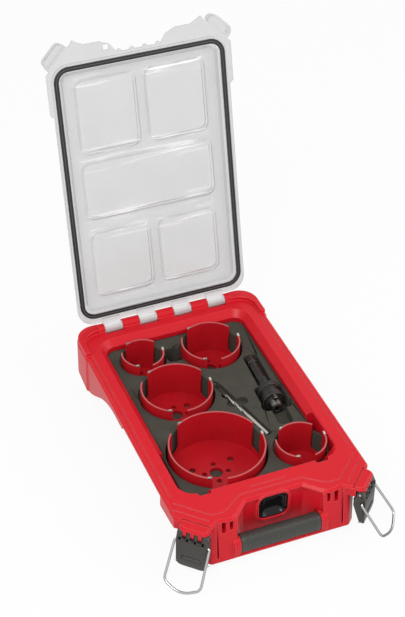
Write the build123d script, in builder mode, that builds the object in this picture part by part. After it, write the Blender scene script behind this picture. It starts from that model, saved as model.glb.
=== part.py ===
"""Saw blade storage case: a shallow stackable tool case with a clear hinged lid.

Frame: X across the case (+X right), Y from the front handle (-Y) to the hinge (+Y), Z up.
The origin lies on the surface that the case stands on. All sizes are in millimetres.
"""
from build123d import *
import math
import os

# ------------------------------------------------------------------ driving dimensions
# case shell
RIM_Z = 68.3                # top of the rim
BASE_Z = 8.0                # underside of the shell, above its feet
RIM_HALF = 120.0            # half width over the rim's lip
RIM_EDGE = 3.0              # chamfer round the rim's top edge
DECK_THICK = 4.5            # thickness of the deck round the mouth
WALL = 2.6                  # moulded wall
FLOOR = 3.0                 # moulded floor
BASE_HALF = 94.0            # half width of the shell at its underside
FRONT_Y = -187.5            # front face at its underside
FRONT_DRAFT = 6.5           # how far the front face leans back by the deck
FRONT_HALF = 85.5           # half width of the front face
BACK_Y = 154.0              # back of the tub
DECK_BACK_Y = 171.6         # back edge of the deck between the corner blocks

# mouth and inside of the tub
INNER_HALF = 92.0
INNER_FRONT_Y = -124.5
INNER_BACK_Y = 150.5
INNER_R = 14.0
MOUTH_SLOPE = 8.0           # width and depth of the sloped band round the mouth
BAY_HALF = 98.0             # half width of the wider front bays
BAY_Y = (-118.0, -50.5)
BAY_Z = 44.0                # floor of the left bay; the right one is as deep as the tub
NOTCH_X = 73.0              # two finger notches in the front wall
NOTCH_W = 16.5
NOTCH_Y = -137.0

# hinge
HINGE_Y = 180.0
HINGE_R = 6.8
HINGE_PIN_R = 2.2
HINGE_PIN_FIT = 0.06        # radial running clearance of the lid's lugs on the pins
LUG_X = (23.2, 69.5)        # centres of the lid's lugs, each side
LUG_W = 23.0
LUG_GAP = 0.6
LID_ANGLE = 13.4            # the open lid's lean behind upright

# stacking feet
FOOT_W = 42.0
FOOT_L = 58.0
FOOT_X = 52.0
FOOT_Y = (-92.0, 0.0, 92.0)
KEEL = (6.0, 150.0)         # width and length of the stiffening rib between the feet

# corner blocks, latches and bails, in the corner's own frame
CORNER_A = -53.5            # latch centre along the 45 degree line
BLOCK_D = 207.5             # outer face of the corner block from the frame's origin
BLOCK_HALF = 18.0
BLOCK_ROOT_D = BLOCK_D - 24.5      # where the block grows out of the shell
BLOCK_NECK_D = BLOCK_D - 21.5
PIVOT_D = BLOCK_D - 4.5            # lever pivot
PIVOT_Z = 58.4
PIN_R = 1.6
PIN_FIT = 0.07
FIN_R = 4.5
FIN_W = 4.2
FIN_PITCH = 9.3
FIN_GAP = 0.45
LEVER_HALF = 18.5
LEVER_D = PIVOT_D + 7.4     # outer face of the lever
LEVER_BASE_Z = 11.0
LEVER_SOLID_Z = 53.0        # top of the lever below its fingers
THUMB_GROOVE = (3.0, 0.4, 26.5)   # radius, centre outside the lever's face and its height
BAIL_D = PIVOT_D + 3.5      # bail pivot
BAIL_Z = 47.0
BAIL_WIRE_R = 1.5
BAIL_HALF = 21.0            # bail leg centre from the latch centre
BAIL_LENGTH = 56.0          # pivot to the lowest point of the cross wire
BAIL_SAG = 8.0
BAIL_R = 9.0
BAIL_STUB = 6.5

# front recess, handle and release button
RECESS_BACK_Y = -159.5
RECESS_HALF = (37.0, 52.0, 57.0)   # at the back wall, at the flare's end and at the front
RECESS_FLARE_Y = -177.5
LIP_Y = -162.3              # deck's edge over the recess
LIP_HALF = (34.5, 50.5)
HANDLE_Z = (10.5, 34.2)     # grip
HANDLE_Y = (-189.5, -172.0)
GRIP_HALF = 50.0
GRIP_GAP = 0.3              # round the grip where it enters the recess's flare
BEAM_INSET = 3.4
BOSS_HALF = 58.0
HOLLOW_TOP_Z = 42.0         # top of the hollows at each side of the recess
FRONT_SLOTS = ((69.4, 5.2, 16.0), (60.0, 4.4, 14.0))   # blind slots: centre x, width, height
DECK_GROOVES = (            # width, depth, corner radius and run of each groove, right side
    (1.5, 1.0, 3.0, ((112.0, -137.5), (80.0, -169.5), (66.0, -170.0), (57.0, -166.0), (38.0, -151.5), (0.0, -151.5))),
    (1.5, 1.0, 0.0, ((117.0, -146.0), (86.0, -177.0))),
    (1.4, 1.0, 0.0, ((21.0, -143.9), (0.0, -143.9))),
    (1.6, 1.0, 0.0, ((112.4, -128.0), (112.4, 134.0))),
)
VALLEY = (2.8, 2.4)         # width and depth of the valley behind a corner block
FRONT_GROOVE = (77.3, 2.4, 56.0)   # centre x, width and height of the groove at each end of the front
HORN_RISE = 5.0             # raised horn at each back corner, outside the closed lid
HORN_Y = 136.0              # where it starts
HORN_GAP = 1.6              # from the closed lid's edge
PORT_W = 43.0
PORT_Z = (26.5, 67.6)
PORT_RIM = 3.2
PORT_R = 12.5
BUTTON_GAP = 0.4

# lid, in its own plane: s from the hinge axis, n up from the rim when closed
LID_CLEAR = 0.3
LID_THICK = 2.4
LID_HALF = (112.0, 116.5)
LID_STEP_S = 286.0
LID_START_S = 9.0
LID_BACK_R = 20.0
GASKET_HALF = 108.0
GASKET_S = (16.0, 345.5)
GASKET_W = 5.8
GASKET_R = 19.0
GASKET_THICK = 2.2
TRAY_RISE = 10.0
PAD_SINK = 4.0
LOBE_RISE = 13.0
LOBE_D = BLOCK_D + 0.5
LOBE_ROOT_D = LOBE_D - 13.5

# foam and contents
FOAM_Z = 54.5
FOAM_GAP = 0.3
POCKET_GAP = 2.6
FINGER_SLOT = ((-12.6, 117.0), (19.0, 26.0))   # centre and size of the slot between two cups
BIT_NOTCH = ((27.5, 7.2), (26.0, 12.5))        # centre and size of the notch across the pilot bit
CUP_Z = (16.3, 66.3)
CUP_WALL = 1.8
CUP_PLATE = 4.5
CUPS = {                    # name: (x, y, outer radius, turn of the first slot)
    "large": (-29.0, -64.5, 57.5, 11.0),
    "medium": (-36.0, 45.8, 44.0, 14.0),
    "standard": (35.5, 111.5, 37.0, 15.0),
    "small": (-51.7, 120.4, 26.6, 20.0),
    "compact": (65.8, -92.4, 30.4, 22.0),
}
SLOT_W = 17.5               # width of a cup's slots, at most SLOT_SHARE of its radius
SLOT_SHARE = 0.6
SLOT_DEPTH = 40.0           # down from the rim
SLOTS = 3
TOOTH = (5.0, 2.6, 1.8)     # along the wall, across it, height above the rim
ARBOR_TAIL = (74.8, 78.7)   # plan point of the shank's end
ARBOR_NOSE = (69.6, -18.5)  # plan point of the threaded nose
ARBOR_Z = 50.5
SHANK_FLATS = 11.1
SHANK_LENGTH = 44.0
NECK_R = 7.2
COLLAR_R = 14.0
COLLAR_Y = (13.0, 37.0)     # from the nose
NOSE_R = 7.9
DRIVE_PIN_R = 2.6
DRIVE_PIN_LENGTH = 7.0
BIT_FROM = (19.8, 28.0)
BIT_TO = (40.0, -56.0)
BIT_R = 3.2
BIT_DEPTH = 7.0             # depth of the pilot bit's slot in the foam
REST_GAP = 0.3              # contents stand this far off what carries them


# ------------------------------------------------------------------ shared frames and points
def corner_origin(side):
    """Origin of the corner frame: side is 1 for the right corner and -1 for the left one."""
    return (side * CORNER_A / math.sqrt(2), CORNER_A / math.sqrt(2), 0)


def face_plane(side, distance):
    """Plane parallel to the corner's outer face: local x along the corner, local y up."""
    return Plane(origin=corner_origin(side), x_dir=(1, side, 0), z_dir=(side, -1, 0)).offset(distance)


def section_plane(side, along=0.0):
    """Plane across the corner: local x outwards, local y up."""
    return Plane(origin=corner_origin(side), x_dir=(side, -1, 0), z_dir=(-1, -side, 0)).offset(along)


def corner_point(along, distance):
    """Plan point of the right corner from its place along the corner and outwards."""
    a = CORNER_A + along
    return ((a + distance) / math.sqrt(2), (a - distance) / math.sqrt(2))


def lid_plane(rise=0.0):
    """Plane of the open lid: local x across, local y towards the hinge, local z out of the lid."""
    lean = math.radians(LID_ANGLE)
    plane = Plane(origin=(0, HINGE_Y, RIM_Z), x_dir=(1, 0, 0), z_dir=(0, math.cos(lean), -math.sin(lean)))
    return plane.offset(rise)


def outline(*corners):
    """Face symmetric about x = 0, from the right half's (x, y, corner radius) in order."""
    left = [(-x, y, r) for x, y, r in reversed(corners)]
    ring = [*corners, *left]
    with BuildLine() as loop:
        FilletPolyline(*[(x, y) for x, y, r in ring], radius=[r for x, y, r in ring], close=True)
    make_face(loop.edges())


def shape(*corners):
    """Face from (x, y, corner radius) points in order."""
    with BuildLine() as loop:
        FilletPolyline(*[(x, y) for x, y, r in corners], radius=[r for x, y, r in corners], close=True)
    make_face(loop.edges())


def finish(builder, name):
    """Label a finished piece and write its STEP file."""
    builder.part.label = name
    export_step(builder.part, f"parts/{name}.step")


os.makedirs("parts", exist_ok=True)


# ------------------------------------------------------------------ outlines of the case
def shell_outline(draft, inset=0.0):
    """Plan of the tub and front housing: draft runs from 0 at the underside to 1 below the deck."""
    front = FRONT_Y + FRONT_DRAFT * draft + inset
    side = BASE_HALF + 3.0 * draft - inset
    back = BACK_Y + 3.0 * draft - inset
    corner = (side + (FRONT_HALF - side)) - inset * math.tan(math.radians(22.5))
    outline(
        (corner, front, 4.0),
        (side, front + side - corner, 4.0),
        (side, back, INNER_R + WALL),
    )


def block_corner(along, distance, radius):
    """Outline point of the right corner block."""
    x, y = corner_point(along, distance)
    return (x, y, radius)


def deck_outline(inset=0.0):
    """Plan of the deck: recess lip, front lobe, corner block, side lip and back corner block."""
    leg_gap = BAIL_HALF + BAIL_WIRE_R + 1.0
    outline(
        (LIP_HALF[0] + inset, LIP_Y + inset, 3.0),
        (LIP_HALF[1] + inset, -178.6 + inset, 5.0),
        (61.0, -183.4 + inset, 8.0),
        (75.5, -180.2 + inset, 8.0),
        block_corner(-BLOCK_HALF + inset - 1.5, BLOCK_NECK_D + 0.5, 3.0),
        block_corner(-BLOCK_HALF + inset, BLOCK_D - 14.0, 2.0),
        block_corner(-BLOCK_HALF + inset, BLOCK_D - inset, 6.5 - inset),
        block_corner(BLOCK_HALF - inset, BLOCK_D - inset, 6.5 - inset),
        block_corner(BLOCK_HALF - inset, BLOCK_D - 10.0 - inset, 2.0),
        block_corner(leg_gap - inset, BLOCK_D - 10.0 - inset, 1.5),
        (RIM_HALF - inset, -156.5, 3.0),
        (RIM_HALF - inset, 130.0, 4.0),
        (RIM_HALF + 1.5 - inset, 134.0, 3.0),
        (RIM_HALF + 1.5 - inset, HINGE_Y + HINGE_R - inset, 25.0 - inset),
        (LUG_X[1] + LUG_W / 2 + LUG_GAP + inset, HINGE_Y + HINGE_R - inset, 1.0),
        (LUG_X[1] + LUG_W / 2 + LUG_GAP + inset, DECK_BACK_Y - inset, 1.0),
    )


def skirt_outline():
    """Plan of the hanging side and back skirt, without the front details."""
    outline(
        (RIM_HALF - 14.0, -172.0, 3.0),
        (RIM_HALF, -172.0 + 14.0, 3.0),
        (RIM_HALF, 130.0, 4.0),
        (RIM_HALF + 1.5, 134.0, 3.0),
        (RIM_HALF + 1.5, HINGE_Y + HINGE_R, 25.0),
    )


# ------------------------------------------------------------------ case: skirt
with BuildPart() as skirt:
    with BuildSketch(Plane.XY.offset(BASE_Z)):
        skirt_outline()
        offset(amount=-WALL, mode=Mode.SUBTRACT)
    extrude(amount=RIM_Z - DECK_THICK - BASE_Z + 1.0)
    # the skirt's lower edge swoops up from the back corners to a shallow lip, and drops at the front
    with BuildSketch(Plane.YZ):
        with BuildLine():
            swoop = Spline((134.0, 15.8), (106.9, 28.4), (75.8, 47.9), (58.3, 54.7), (22.4, 57.6))
            Polyline(swoop @ 1, (8.7, 58.2), (8.7, 62.8), (-115.7, 62.8), (-115.7, 48.3), (-147.0, 50.8),
                     (-173.0, 54.5), (-200.0, 54.5), (-200.0, 0.0), (200.0, 0.0), (200.0, 26.0),
                     (165.0, 22.0), swoop @ 0)
        make_face()
    extrude(amount=RIM_HALF + 10.0, both=True, mode=Mode.SUBTRACT)
    # the front housing takes the skirt's place between the corner blocks
    with BuildSketch(Plane.XY):
        with Locations((0, FRONT_Y)):
            Rectangle(2 * FRONT_HALF, 2 * (RECESS_BACK_Y - FRONT_Y))
    extrude(amount=RIM_Z + 10.0, mode=Mode.SUBTRACT)

# ------------------------------------------------------------------ case body
with BuildPart() as case_body:
    # tub and front housing, drafted from the underside to the deck
    with BuildSketch(Plane.XY.offset(BASE_Z)):
        shell_outline(0.0)
    with BuildSketch(Plane.XY.offset(RIM_Z - DECK_THICK)):
        shell_outline(1.0)
    loft()
    # wider outer wall beside the front bays
    for side, level in ((-1, BAY_Z - WALL), (1, BASE_Z)):
        with BuildSketch(Plane.XY.offset(level)):
            with Locations((side * (BAY_HALF + WALL) / 2, (BAY_Y[0] + BAY_Y[1]) / 2)):
                RectangleRounded(BAY_HALF + WALL, BAY_Y[1] - BAY_Y[0] + 2 * WALL, 8.0)
        extrude(amount=RIM_Z - DECK_THICK - level + 0.5)
    add(skirt.part)
    # deck with its chamfered lip
    with BuildSketch(Plane.XY.offset(RIM_Z - DECK_THICK)):
        deck_outline()
    extrude(amount=DECK_THICK - RIM_EDGE)
    with BuildSketch(Plane.XY.offset(RIM_Z - RIM_EDGE)):
        deck_outline()
    with BuildSketch(Plane.XY.offset(RIM_Z)):
        deck_outline(inset=RIM_EDGE * 0.8)
    loft(ruled=True)
    # a raised horn at each back corner, round the closed lid's corner
    inner_x = LID_HALF[0] + HORN_GAP
    inner_y = HINGE_Y - LID_START_S + HORN_GAP
    for side in (1, -1):
        with BuildSketch(Plane.XY.offset(RIM_Z - 1.0)):
            shape(
                (side * (LUG_X[1] + LUG_W / 2 + 7.5), inner_y, 1.0),
                (side * (LUG_X[1] + LUG_W / 2 + 7.5), HINGE_Y + HINGE_R - 1.0, 1.0),
                (side * (RIM_HALF + 0.5), HINGE_Y + HINGE_R - 1.0, 24.0),
                (side * (RIM_HALF + 0.5), HORN_Y, 1.0),
                (side * inner_x, HORN_Y, 1.0),
                (side * inner_x, inner_y, LID_BACK_R + HORN_GAP),
            )
        extrude(amount=HORN_RISE + 1.0)
    chamfer(case_body.edges().group_by(Axis.Z)[-1], length=0.9)

    # mouth: sloped band, main hollow, front bays and finger notches
    with BuildSketch(Plane.XY.offset(RIM_Z - MOUTH_SLOPE)):
        with Locations((0, (INNER_FRONT_Y + INNER_BACK_Y) / 2)):
            RectangleRounded(2 * INNER_HALF, INNER_BACK_Y - INNER_FRONT_Y, INNER_R)
    extrude(amount=MOUTH_SLOPE + 1.0, taper=-45, mode=Mode.SUBTRACT)
    with BuildSketch(Plane.XY.offset(BASE_Z + FLOOR)):
        with Locations((0, (INNER_FRONT_Y + INNER_BACK_Y) / 2)):
            RectangleRounded(2 * INNER_HALF, INNER_BACK_Y - INNER_FRONT_Y, INNER_R)
    extrude(amount=RIM_Z, mode=Mode.SUBTRACT)
    for side, level in ((-1, BAY_Z), (1, BASE_Z + FLOOR)):
        with BuildSketch(Plane.XY.offset(level)):
            with Locations((side * BAY_HALF / 2, (BAY_Y[0] + BAY_Y[1]) / 2)):
                RectangleRounded(BAY_HALF, BAY_Y[1] - BAY_Y[0], 6.0)
        extrude(amount=RIM_Z, mode=Mode.SUBTRACT)
    with BuildSketch(Plane.XY.offset(BASE_Z + FLOOR + 2.0)):
        with Locations((-NOTCH_X, NOTCH_Y + 12.0), (NOTCH_X, NOTCH_Y + 12.0)):
            RectangleRounded(NOTCH_W, 24.0, 3.5)
    extrude(amount=RIM_Z, mode=Mode.SUBTRACT)

    # recess round the handle
    with BuildSketch(Plane.XY.offset(BASE_Z - 1.0)):
        outline(
            (RECESS_HALF[0], RECESS_BACK_Y, 3.0),
            (RECESS_HALF[1], RECESS_FLARE_Y, 5.0),
            (RECESS_HALF[2], -200.0, 0.0),
        )
    extrude(amount=RIM_Z - DECK_THICK - BASE_Z + 1.0, mode=Mode.SUBTRACT)
    # the grip's ends are let into the recess's flare
    with BuildSketch(Plane.YZ):
        with Locations((HANDLE_Y[1] + GRIP_GAP, HANDLE_Z[1] + GRIP_GAP)):
            Rectangle(2 * (HANDLE_Y[1] - HANDLE_Y[0]), HANDLE_Z[1] - BASE_Z, align=(Align.MAX, Align.MAX))
    extrude(amount=GRIP_HALF, both=True, mode=Mode.SUBTRACT)

    # hollows of the front housing, open below: one behind the recess and one at each side
    with BuildSketch(Plane.XY.offset(BASE_Z - 1.0)):
        with Locations((0, (RECESS_BACK_Y + INNER_FRONT_Y) / 2)):
            RectangleRounded(2 * RECESS_HALF[0] - 6.0, INNER_FRONT_Y - RECESS_BACK_Y - 2 * WALL, 3.0)
    extrude(amount=RIM_Z - DECK_THICK - BASE_Z, mode=Mode.SUBTRACT)
    for side in (1, -1):
        hollow_draft = (HOLLOW_TOP_Z - BASE_Z) / (RIM_Z - DECK_THICK - BASE_Z)
        for level, draft in ((BASE_Z - 0.01, 0.0), (HOLLOW_TOP_Z, hollow_draft)):
            with BuildSketch(Plane.XY.offset(level)):
                front = FRONT_Y + FRONT_DRAFT * draft + WALL
                shape(
                    (side * 40.0, INNER_FRONT_Y - WALL, 2.0),
                    (side * 61.5, INNER_FRONT_Y - WALL, 2.0),
                    (side * 61.5, NOTCH_Y - WALL, 2.0),
                    (side * 84.5, NOTCH_Y - WALL, 2.0),
                    (side * 84.5, INNER_FRONT_Y - WALL, 2.0),
                    (side * 91.0, INNER_FRONT_Y - WALL, 2.0),
                    (side * 91.0, front + 19.0, 2.0),
                    (side * 72.0, front, 2.0),
                    (side * 60.5, front, 2.0),
                    (side * 55.5, -176.0, 2.0),
                    (side * 40.0, -157.5, 2.0),
                )
        loft(ruled=True, mode=Mode.SUBTRACT)

    # handle beam across the recess: a bottom bar with a tongue inside the grip, and a boss at each end
    with BuildSketch(Plane.YZ):
        shape(
            (HANDLE_Y[0] + 1.2, BASE_Z, 1.5),
            (HANDLE_Y[1] - 1.5, BASE_Z, 1.5),
            (HANDLE_Y[1] - 1.5, HANDLE_Z[0], 0.0),
            (HANDLE_Y[1] - BEAM_INSET, HANDLE_Z[0], 0.0),
            (HANDLE_Y[1] - BEAM_INSET, HANDLE_Z[1] - BEAM_INSET, 2.5),
            (HANDLE_Y[0] + BEAM_INSET, HANDLE_Z[1] - BEAM_INSET, 2.5),
            (HANDLE_Y[0] + BEAM_INSET, HANDLE_Z[0], 0.0),
            (HANDLE_Y[0] + 1.2, HANDLE_Z[0], 0.0),
        )
    extrude(amount=BOSS_HALF, both=True)
    for side in (1, -1):
        with BuildSketch(Plane.YZ.offset(side * GRIP_HALF)):
            with Locations(((HANDLE_Y[0] + HANDLE_Y[1]) / 2, (BASE_Z + HANDLE_Z[1]) / 2)):
                RectangleRounded(HANDLE_Y[1] - HANDLE_Y[0] - 1.0, HANDLE_Z[1] - BASE_Z - 1.0, 7.5)
        extrude(amount=side * (BOSS_HALF - GRIP_HALF))

    # port in the recess's back wall for the release button
    with BuildSketch(Plane(origin=(0, RECESS_BACK_Y, 0), x_dir=(1, 0, 0), z_dir=(0, -1, 0))):
        with Locations((0, (PORT_Z[0] + PORT_Z[1]) / 2)):
            RectangleRounded(PORT_W, PORT_Z[1] - PORT_Z[0], PORT_R)
    extrude(amount=3.4)
    with BuildSketch(Plane(origin=(0, RECESS_BACK_Y - 5.0, 0), x_dir=(1, 0, 0), z_dir=(0, 1, 0))):
        with Locations((0, -(PORT_Z[0] + PORT_Z[1]) / 2)):
            RectangleRounded(PORT_W - 2 * PORT_RIM, PORT_Z[1] - PORT_Z[0] - 2 * PORT_RIM, PORT_R - PORT_RIM)
    extrude(amount=24.0, mode=Mode.SUBTRACT)

    # corner blocks: web, gusset and the fins that carry each lever's pin
    for side in (1, -1):
        with BuildSketch(Plane.XY.offset(LEVER_SOLID_Z + 1.2)):
            gusset = [corner_point(along, d) for along, d in (
                (-BLOCK_HALF, BLOCK_ROOT_D), (-BLOCK_HALF, PIVOT_D - FIN_R - 0.9),
                (BLOCK_HALF, PIVOT_D - FIN_R - 0.9), (BLOCK_HALF, BLOCK_ROOT_D))]
            shape(*[(side * x, y, 0.0) for x, y in gusset])
        extrude(amount=RIM_Z - DECK_THICK - LEVER_SOLID_Z)
        for step in (-1, 0, 1):
            with BuildSketch(section_plane(side, step * FIN_PITCH)):
                shape(
                    (BLOCK_NECK_D, RIM_Z - DECK_THICK + 1.0, 0.0),
                    (PIVOT_D + FIN_R, RIM_Z - DECK_THICK + 1.0, 0.0),
                    (PIVOT_D + FIN_R, PIVOT_Z - FIN_R, FIN_R - 0.1),
                    (PIVOT_D - 7.0, PIVOT_Z - FIN_R, 2.0),
                    (BLOCK_NECK_D, PIVOT_Z - 3 * FIN_R, 0.0),
                )
            extrude(amount=FIN_W / 2, both=True)
        with BuildSketch(section_plane(side)):
            with Locations((PIVOT_D, PIVOT_Z)):
                Circle(PIN_R)
        extrude(amount=LEVER_HALF + 1.0, both=True, mode=Mode.SUBTRACT)

    # front face: a deep groove and two drain slots at each side
    with BuildSketch(Plane(origin=(0, FRONT_Y - 1.0, 0), x_dir=(1, 0, 0), z_dir=(0, 1, 0))):
        for side in (1, -1):
            with Locations((side * FRONT_GROOVE[0], -(BASE_Z + 5.0 + FRONT_GROOVE[2] / 2))):
                Rectangle(FRONT_GROOVE[1], FRONT_GROOVE[2])
    extrude(amount=1.6 + FRONT_DRAFT, mode=Mode.SUBTRACT)
    for x, width, height in FRONT_SLOTS:
        with BuildSketch(Plane(origin=(0, FRONT_Y - 4.0, 0), x_dir=(1, 0, 0), z_dir=(0, 1, 0))):
            with Locations((x, -(RIM_Z - DECK_THICK - height / 2)), (-x, -(RIM_Z - DECK_THICK - height / 2))):
                RectangleRounded(width, height, 1.8)
        extrude(amount=20.0, mode=Mode.SUBTRACT)

    # contour grooves in the deck, a valley behind each corner block and a curve in each back corner
    for side in (1, -1):
        for width, depth, radius, run in DECK_GROOVES:
            with BuildSketch(Plane.XY.offset(RIM_Z - depth)):
                points = [(side * x, y) for x, y in run]
                with BuildLine() as groove:
                    if radius:
                        FilletPolyline(*points, radius=radius)
                    else:
                        Line(*points)
                trace(groove.edges(), line_width=width)
            extrude(amount=depth + 1.0, mode=Mode.SUBTRACT)
        with BuildSketch(section_plane(side)):
            with Locations((BLOCK_D - 13.2, RIM_Z)):
                Rectangle(VALLEY[0], 2 * VALLEY[1])
        extrude(amount=BLOCK_HALF + 0.5, both=True, mode=Mode.SUBTRACT)

    # hinge: shelf behind the tub, knuckles, and room for the lid's lugs
    with BuildSketch(Plane.XY.offset(RIM_Z - 11.5)):
        with Locations((0, (BACK_Y + HINGE_Y + HINGE_R) / 2)):
            Rectangle(2 * (LUG_X[1] + LUG_W), HINGE_Y + HINGE_R - BACK_Y - 1.0)
    extrude(amount=WALL)
    knuckles = (
        (-(LUG_X[0] - LUG_W / 2 - LUG_GAP), LUG_X[0] - LUG_W / 2 - LUG_GAP),
        (LUG_X[0] + LUG_W / 2 + LUG_GAP, LUG_X[1] - LUG_W / 2 - LUG_GAP),
        (-(LUG_X[1] - LUG_W / 2 - LUG_GAP), -(LUG_X[0] + LUG_W / 2 + LUG_GAP)),
        (LUG_X[1] + LUG_W / 2 + LUG_GAP, LUG_X[1] + LUG_W / 2 + 8.0),
        (-(LUG_X[1] + LUG_W / 2 + 8.0), -(LUG_X[1] + LUG_W / 2 + LUG_GAP)),
    )
    for start, end in knuckles:
        with BuildSketch(Plane.YZ.offset(start)):
            with Locations((HINGE_Y, RIM_Z)):
                Circle(HINGE_R)
            with Locations((HINGE_Y - 2.0, RIM_Z - 6.0)):
                Rectangle(2 * HINGE_R + 4.0 - 0.6, 12.0)
        extrude(amount=end - start)
    for side in (1, -1):
        for centre in LUG_X:
            with BuildSketch(Plane.YZ.offset(side * centre)):
                with Locations((HINGE_Y, RIM_Z)):
                    Circle(HINGE_R + 0.7)
            extrude(amount=LUG_W / 2 + LUG_GAP, both=True, mode=Mode.SUBTRACT)
    with BuildSketch(Plane.YZ):
        with Locations((HINGE_Y, RIM_Z)):
            Circle(HINGE_PIN_R)
    extrude(amount=LUG_X[1] + LUG_W / 2 + 6.0, both=True, mode=Mode.SUBTRACT)

    # stacking feet and the rib along the middle of the floor
    with BuildSketch():
        for y in FOOT_Y:
            with Locations((-FOOT_X, y), (FOOT_X, y)):
                RectangleRounded(FOOT_W, FOOT_L, 6.0)
                RectangleRounded(FOOT_W - 2 * WALL, FOOT_L - 2 * WALL, 4.0, mode=Mode.SUBTRACT)
        RectangleRounded(KEEL[0], KEEL[1], KEEL[0] / 2 - 0.1)
    extrude(amount=BASE_Z + 0.5)

finish(case_body, "case_body")

# ------------------------------------------------------------------ handle grip
with BuildPart() as handle_grip:
    with BuildSketch(Plane.YZ):
        with BuildLine():
            rear = Line((HANDLE_Y[1], HANDLE_Z[0]), (HANDLE_Y[1], HANDLE_Z[1] - 7.0))
            crown = ThreePointArc(rear @ 1, ((HANDLE_Y[0] + HANDLE_Y[1]) / 2 + 0.8, HANDLE_Z[1]),
                                  (HANDLE_Y[0], HANDLE_Z[1] - 8.0))
            Polyline(crown @ 1, (HANDLE_Y[0], HANDLE_Z[0]), rear @ 0)
        make_face()
        with Locations(((HANDLE_Y[0] + HANDLE_Y[1]) / 2, (HANDLE_Z[0] + HANDLE_Z[1]) / 2 - BEAM_INSET)):
            Rectangle(HANDLE_Y[1] - HANDLE_Y[0] - 2 * BEAM_INSET, HANDLE_Z[1] - HANDLE_Z[0],
                      mode=Mode.SUBTRACT)
    extrude(amount=GRIP_HALF, both=True)
finish(handle_grip, "handle_grip")

# ------------------------------------------------------------------ release button and its lock tongue
BUTTON_W = PORT_W - 2 * PORT_RIM - 2 * BUTTON_GAP
BUTTON_H = PORT_Z[1] - PORT_Z[0] - 2 * PORT_RIM - 2 * BUTTON_GAP
BUTTON_MID_Z = (PORT_Z[0] + PORT_Z[1]) / 2
BUTTON_FRONT_Y = RECESS_BACK_Y - 2.4
with BuildPart() as release_button:
    with BuildSketch(Plane(origin=(0, BUTTON_FRONT_Y, BUTTON_MID_Z), x_dir=(1, 0, 0), z_dir=(0, 1, 0))):
        RectangleRounded(BUTTON_W, BUTTON_H, PORT_R - PORT_RIM - BUTTON_GAP)
    extrude(amount=12.0)
    with BuildSketch(Plane(origin=(0, BUTTON_FRONT_Y, BUTTON_MID_Z), x_dir=(1, 0, 0), z_dir=(0, 1, 0))):
        RectangleRounded(BUTTON_W - 3.0, BUTTON_H - 3.0, PORT_R - PORT_RIM - 1.6)
    extrude(amount=8.0, taper=28, mode=Mode.SUBTRACT)
finish(release_button, "release_button")

with BuildPart() as lock_tongue:
    with BuildSketch(Plane.YZ):
        shape(
            (BUTTON_FRONT_Y + 12.0, BUTTON_MID_Z + 8.0, 0.0),
            (BUTTON_FRONT_Y + 12.0, 7.0, 1.0),
            (BUTTON_FRONT_Y + 4.0, 6.0, 0.5),
            (BUTTON_FRONT_Y + 4.0, 2.0, 1.5),
            (BUTTON_FRONT_Y + 14.6, 2.0, 2.0),
            (BUTTON_FRONT_Y + 14.6, BUTTON_MID_Z + 8.0, 1.0),
        )
    extrude(amount=BUTTON_W / 2 - 6.0, both=True)
finish(lock_tongue, "lock_tongue")

# ------------------------------------------------------------------ hinge pin
with BuildPart() as hinge_pin:
    with BuildSketch(Plane.YZ):
        with Locations((HINGE_Y, RIM_Z)):
            Circle(HINGE_PIN_R)
    extrude(amount=LUG_X[1] + LUG_W / 2 + 6.0, both=True)
finish(hinge_pin, "hinge_pin")


# ------------------------------------------------------------------ latches: pin, lever and wire bail
def latch_pin(side):
    """Pin through the fins of one corner block."""
    with BuildPart() as pin:
        with BuildSketch(section_plane(side)):
            with Locations((PIVOT_D, PIVOT_Z)):
                Circle(PIN_R)
        extrude(amount=LEVER_HALF - 0.3, both=True)
    return pin


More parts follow.
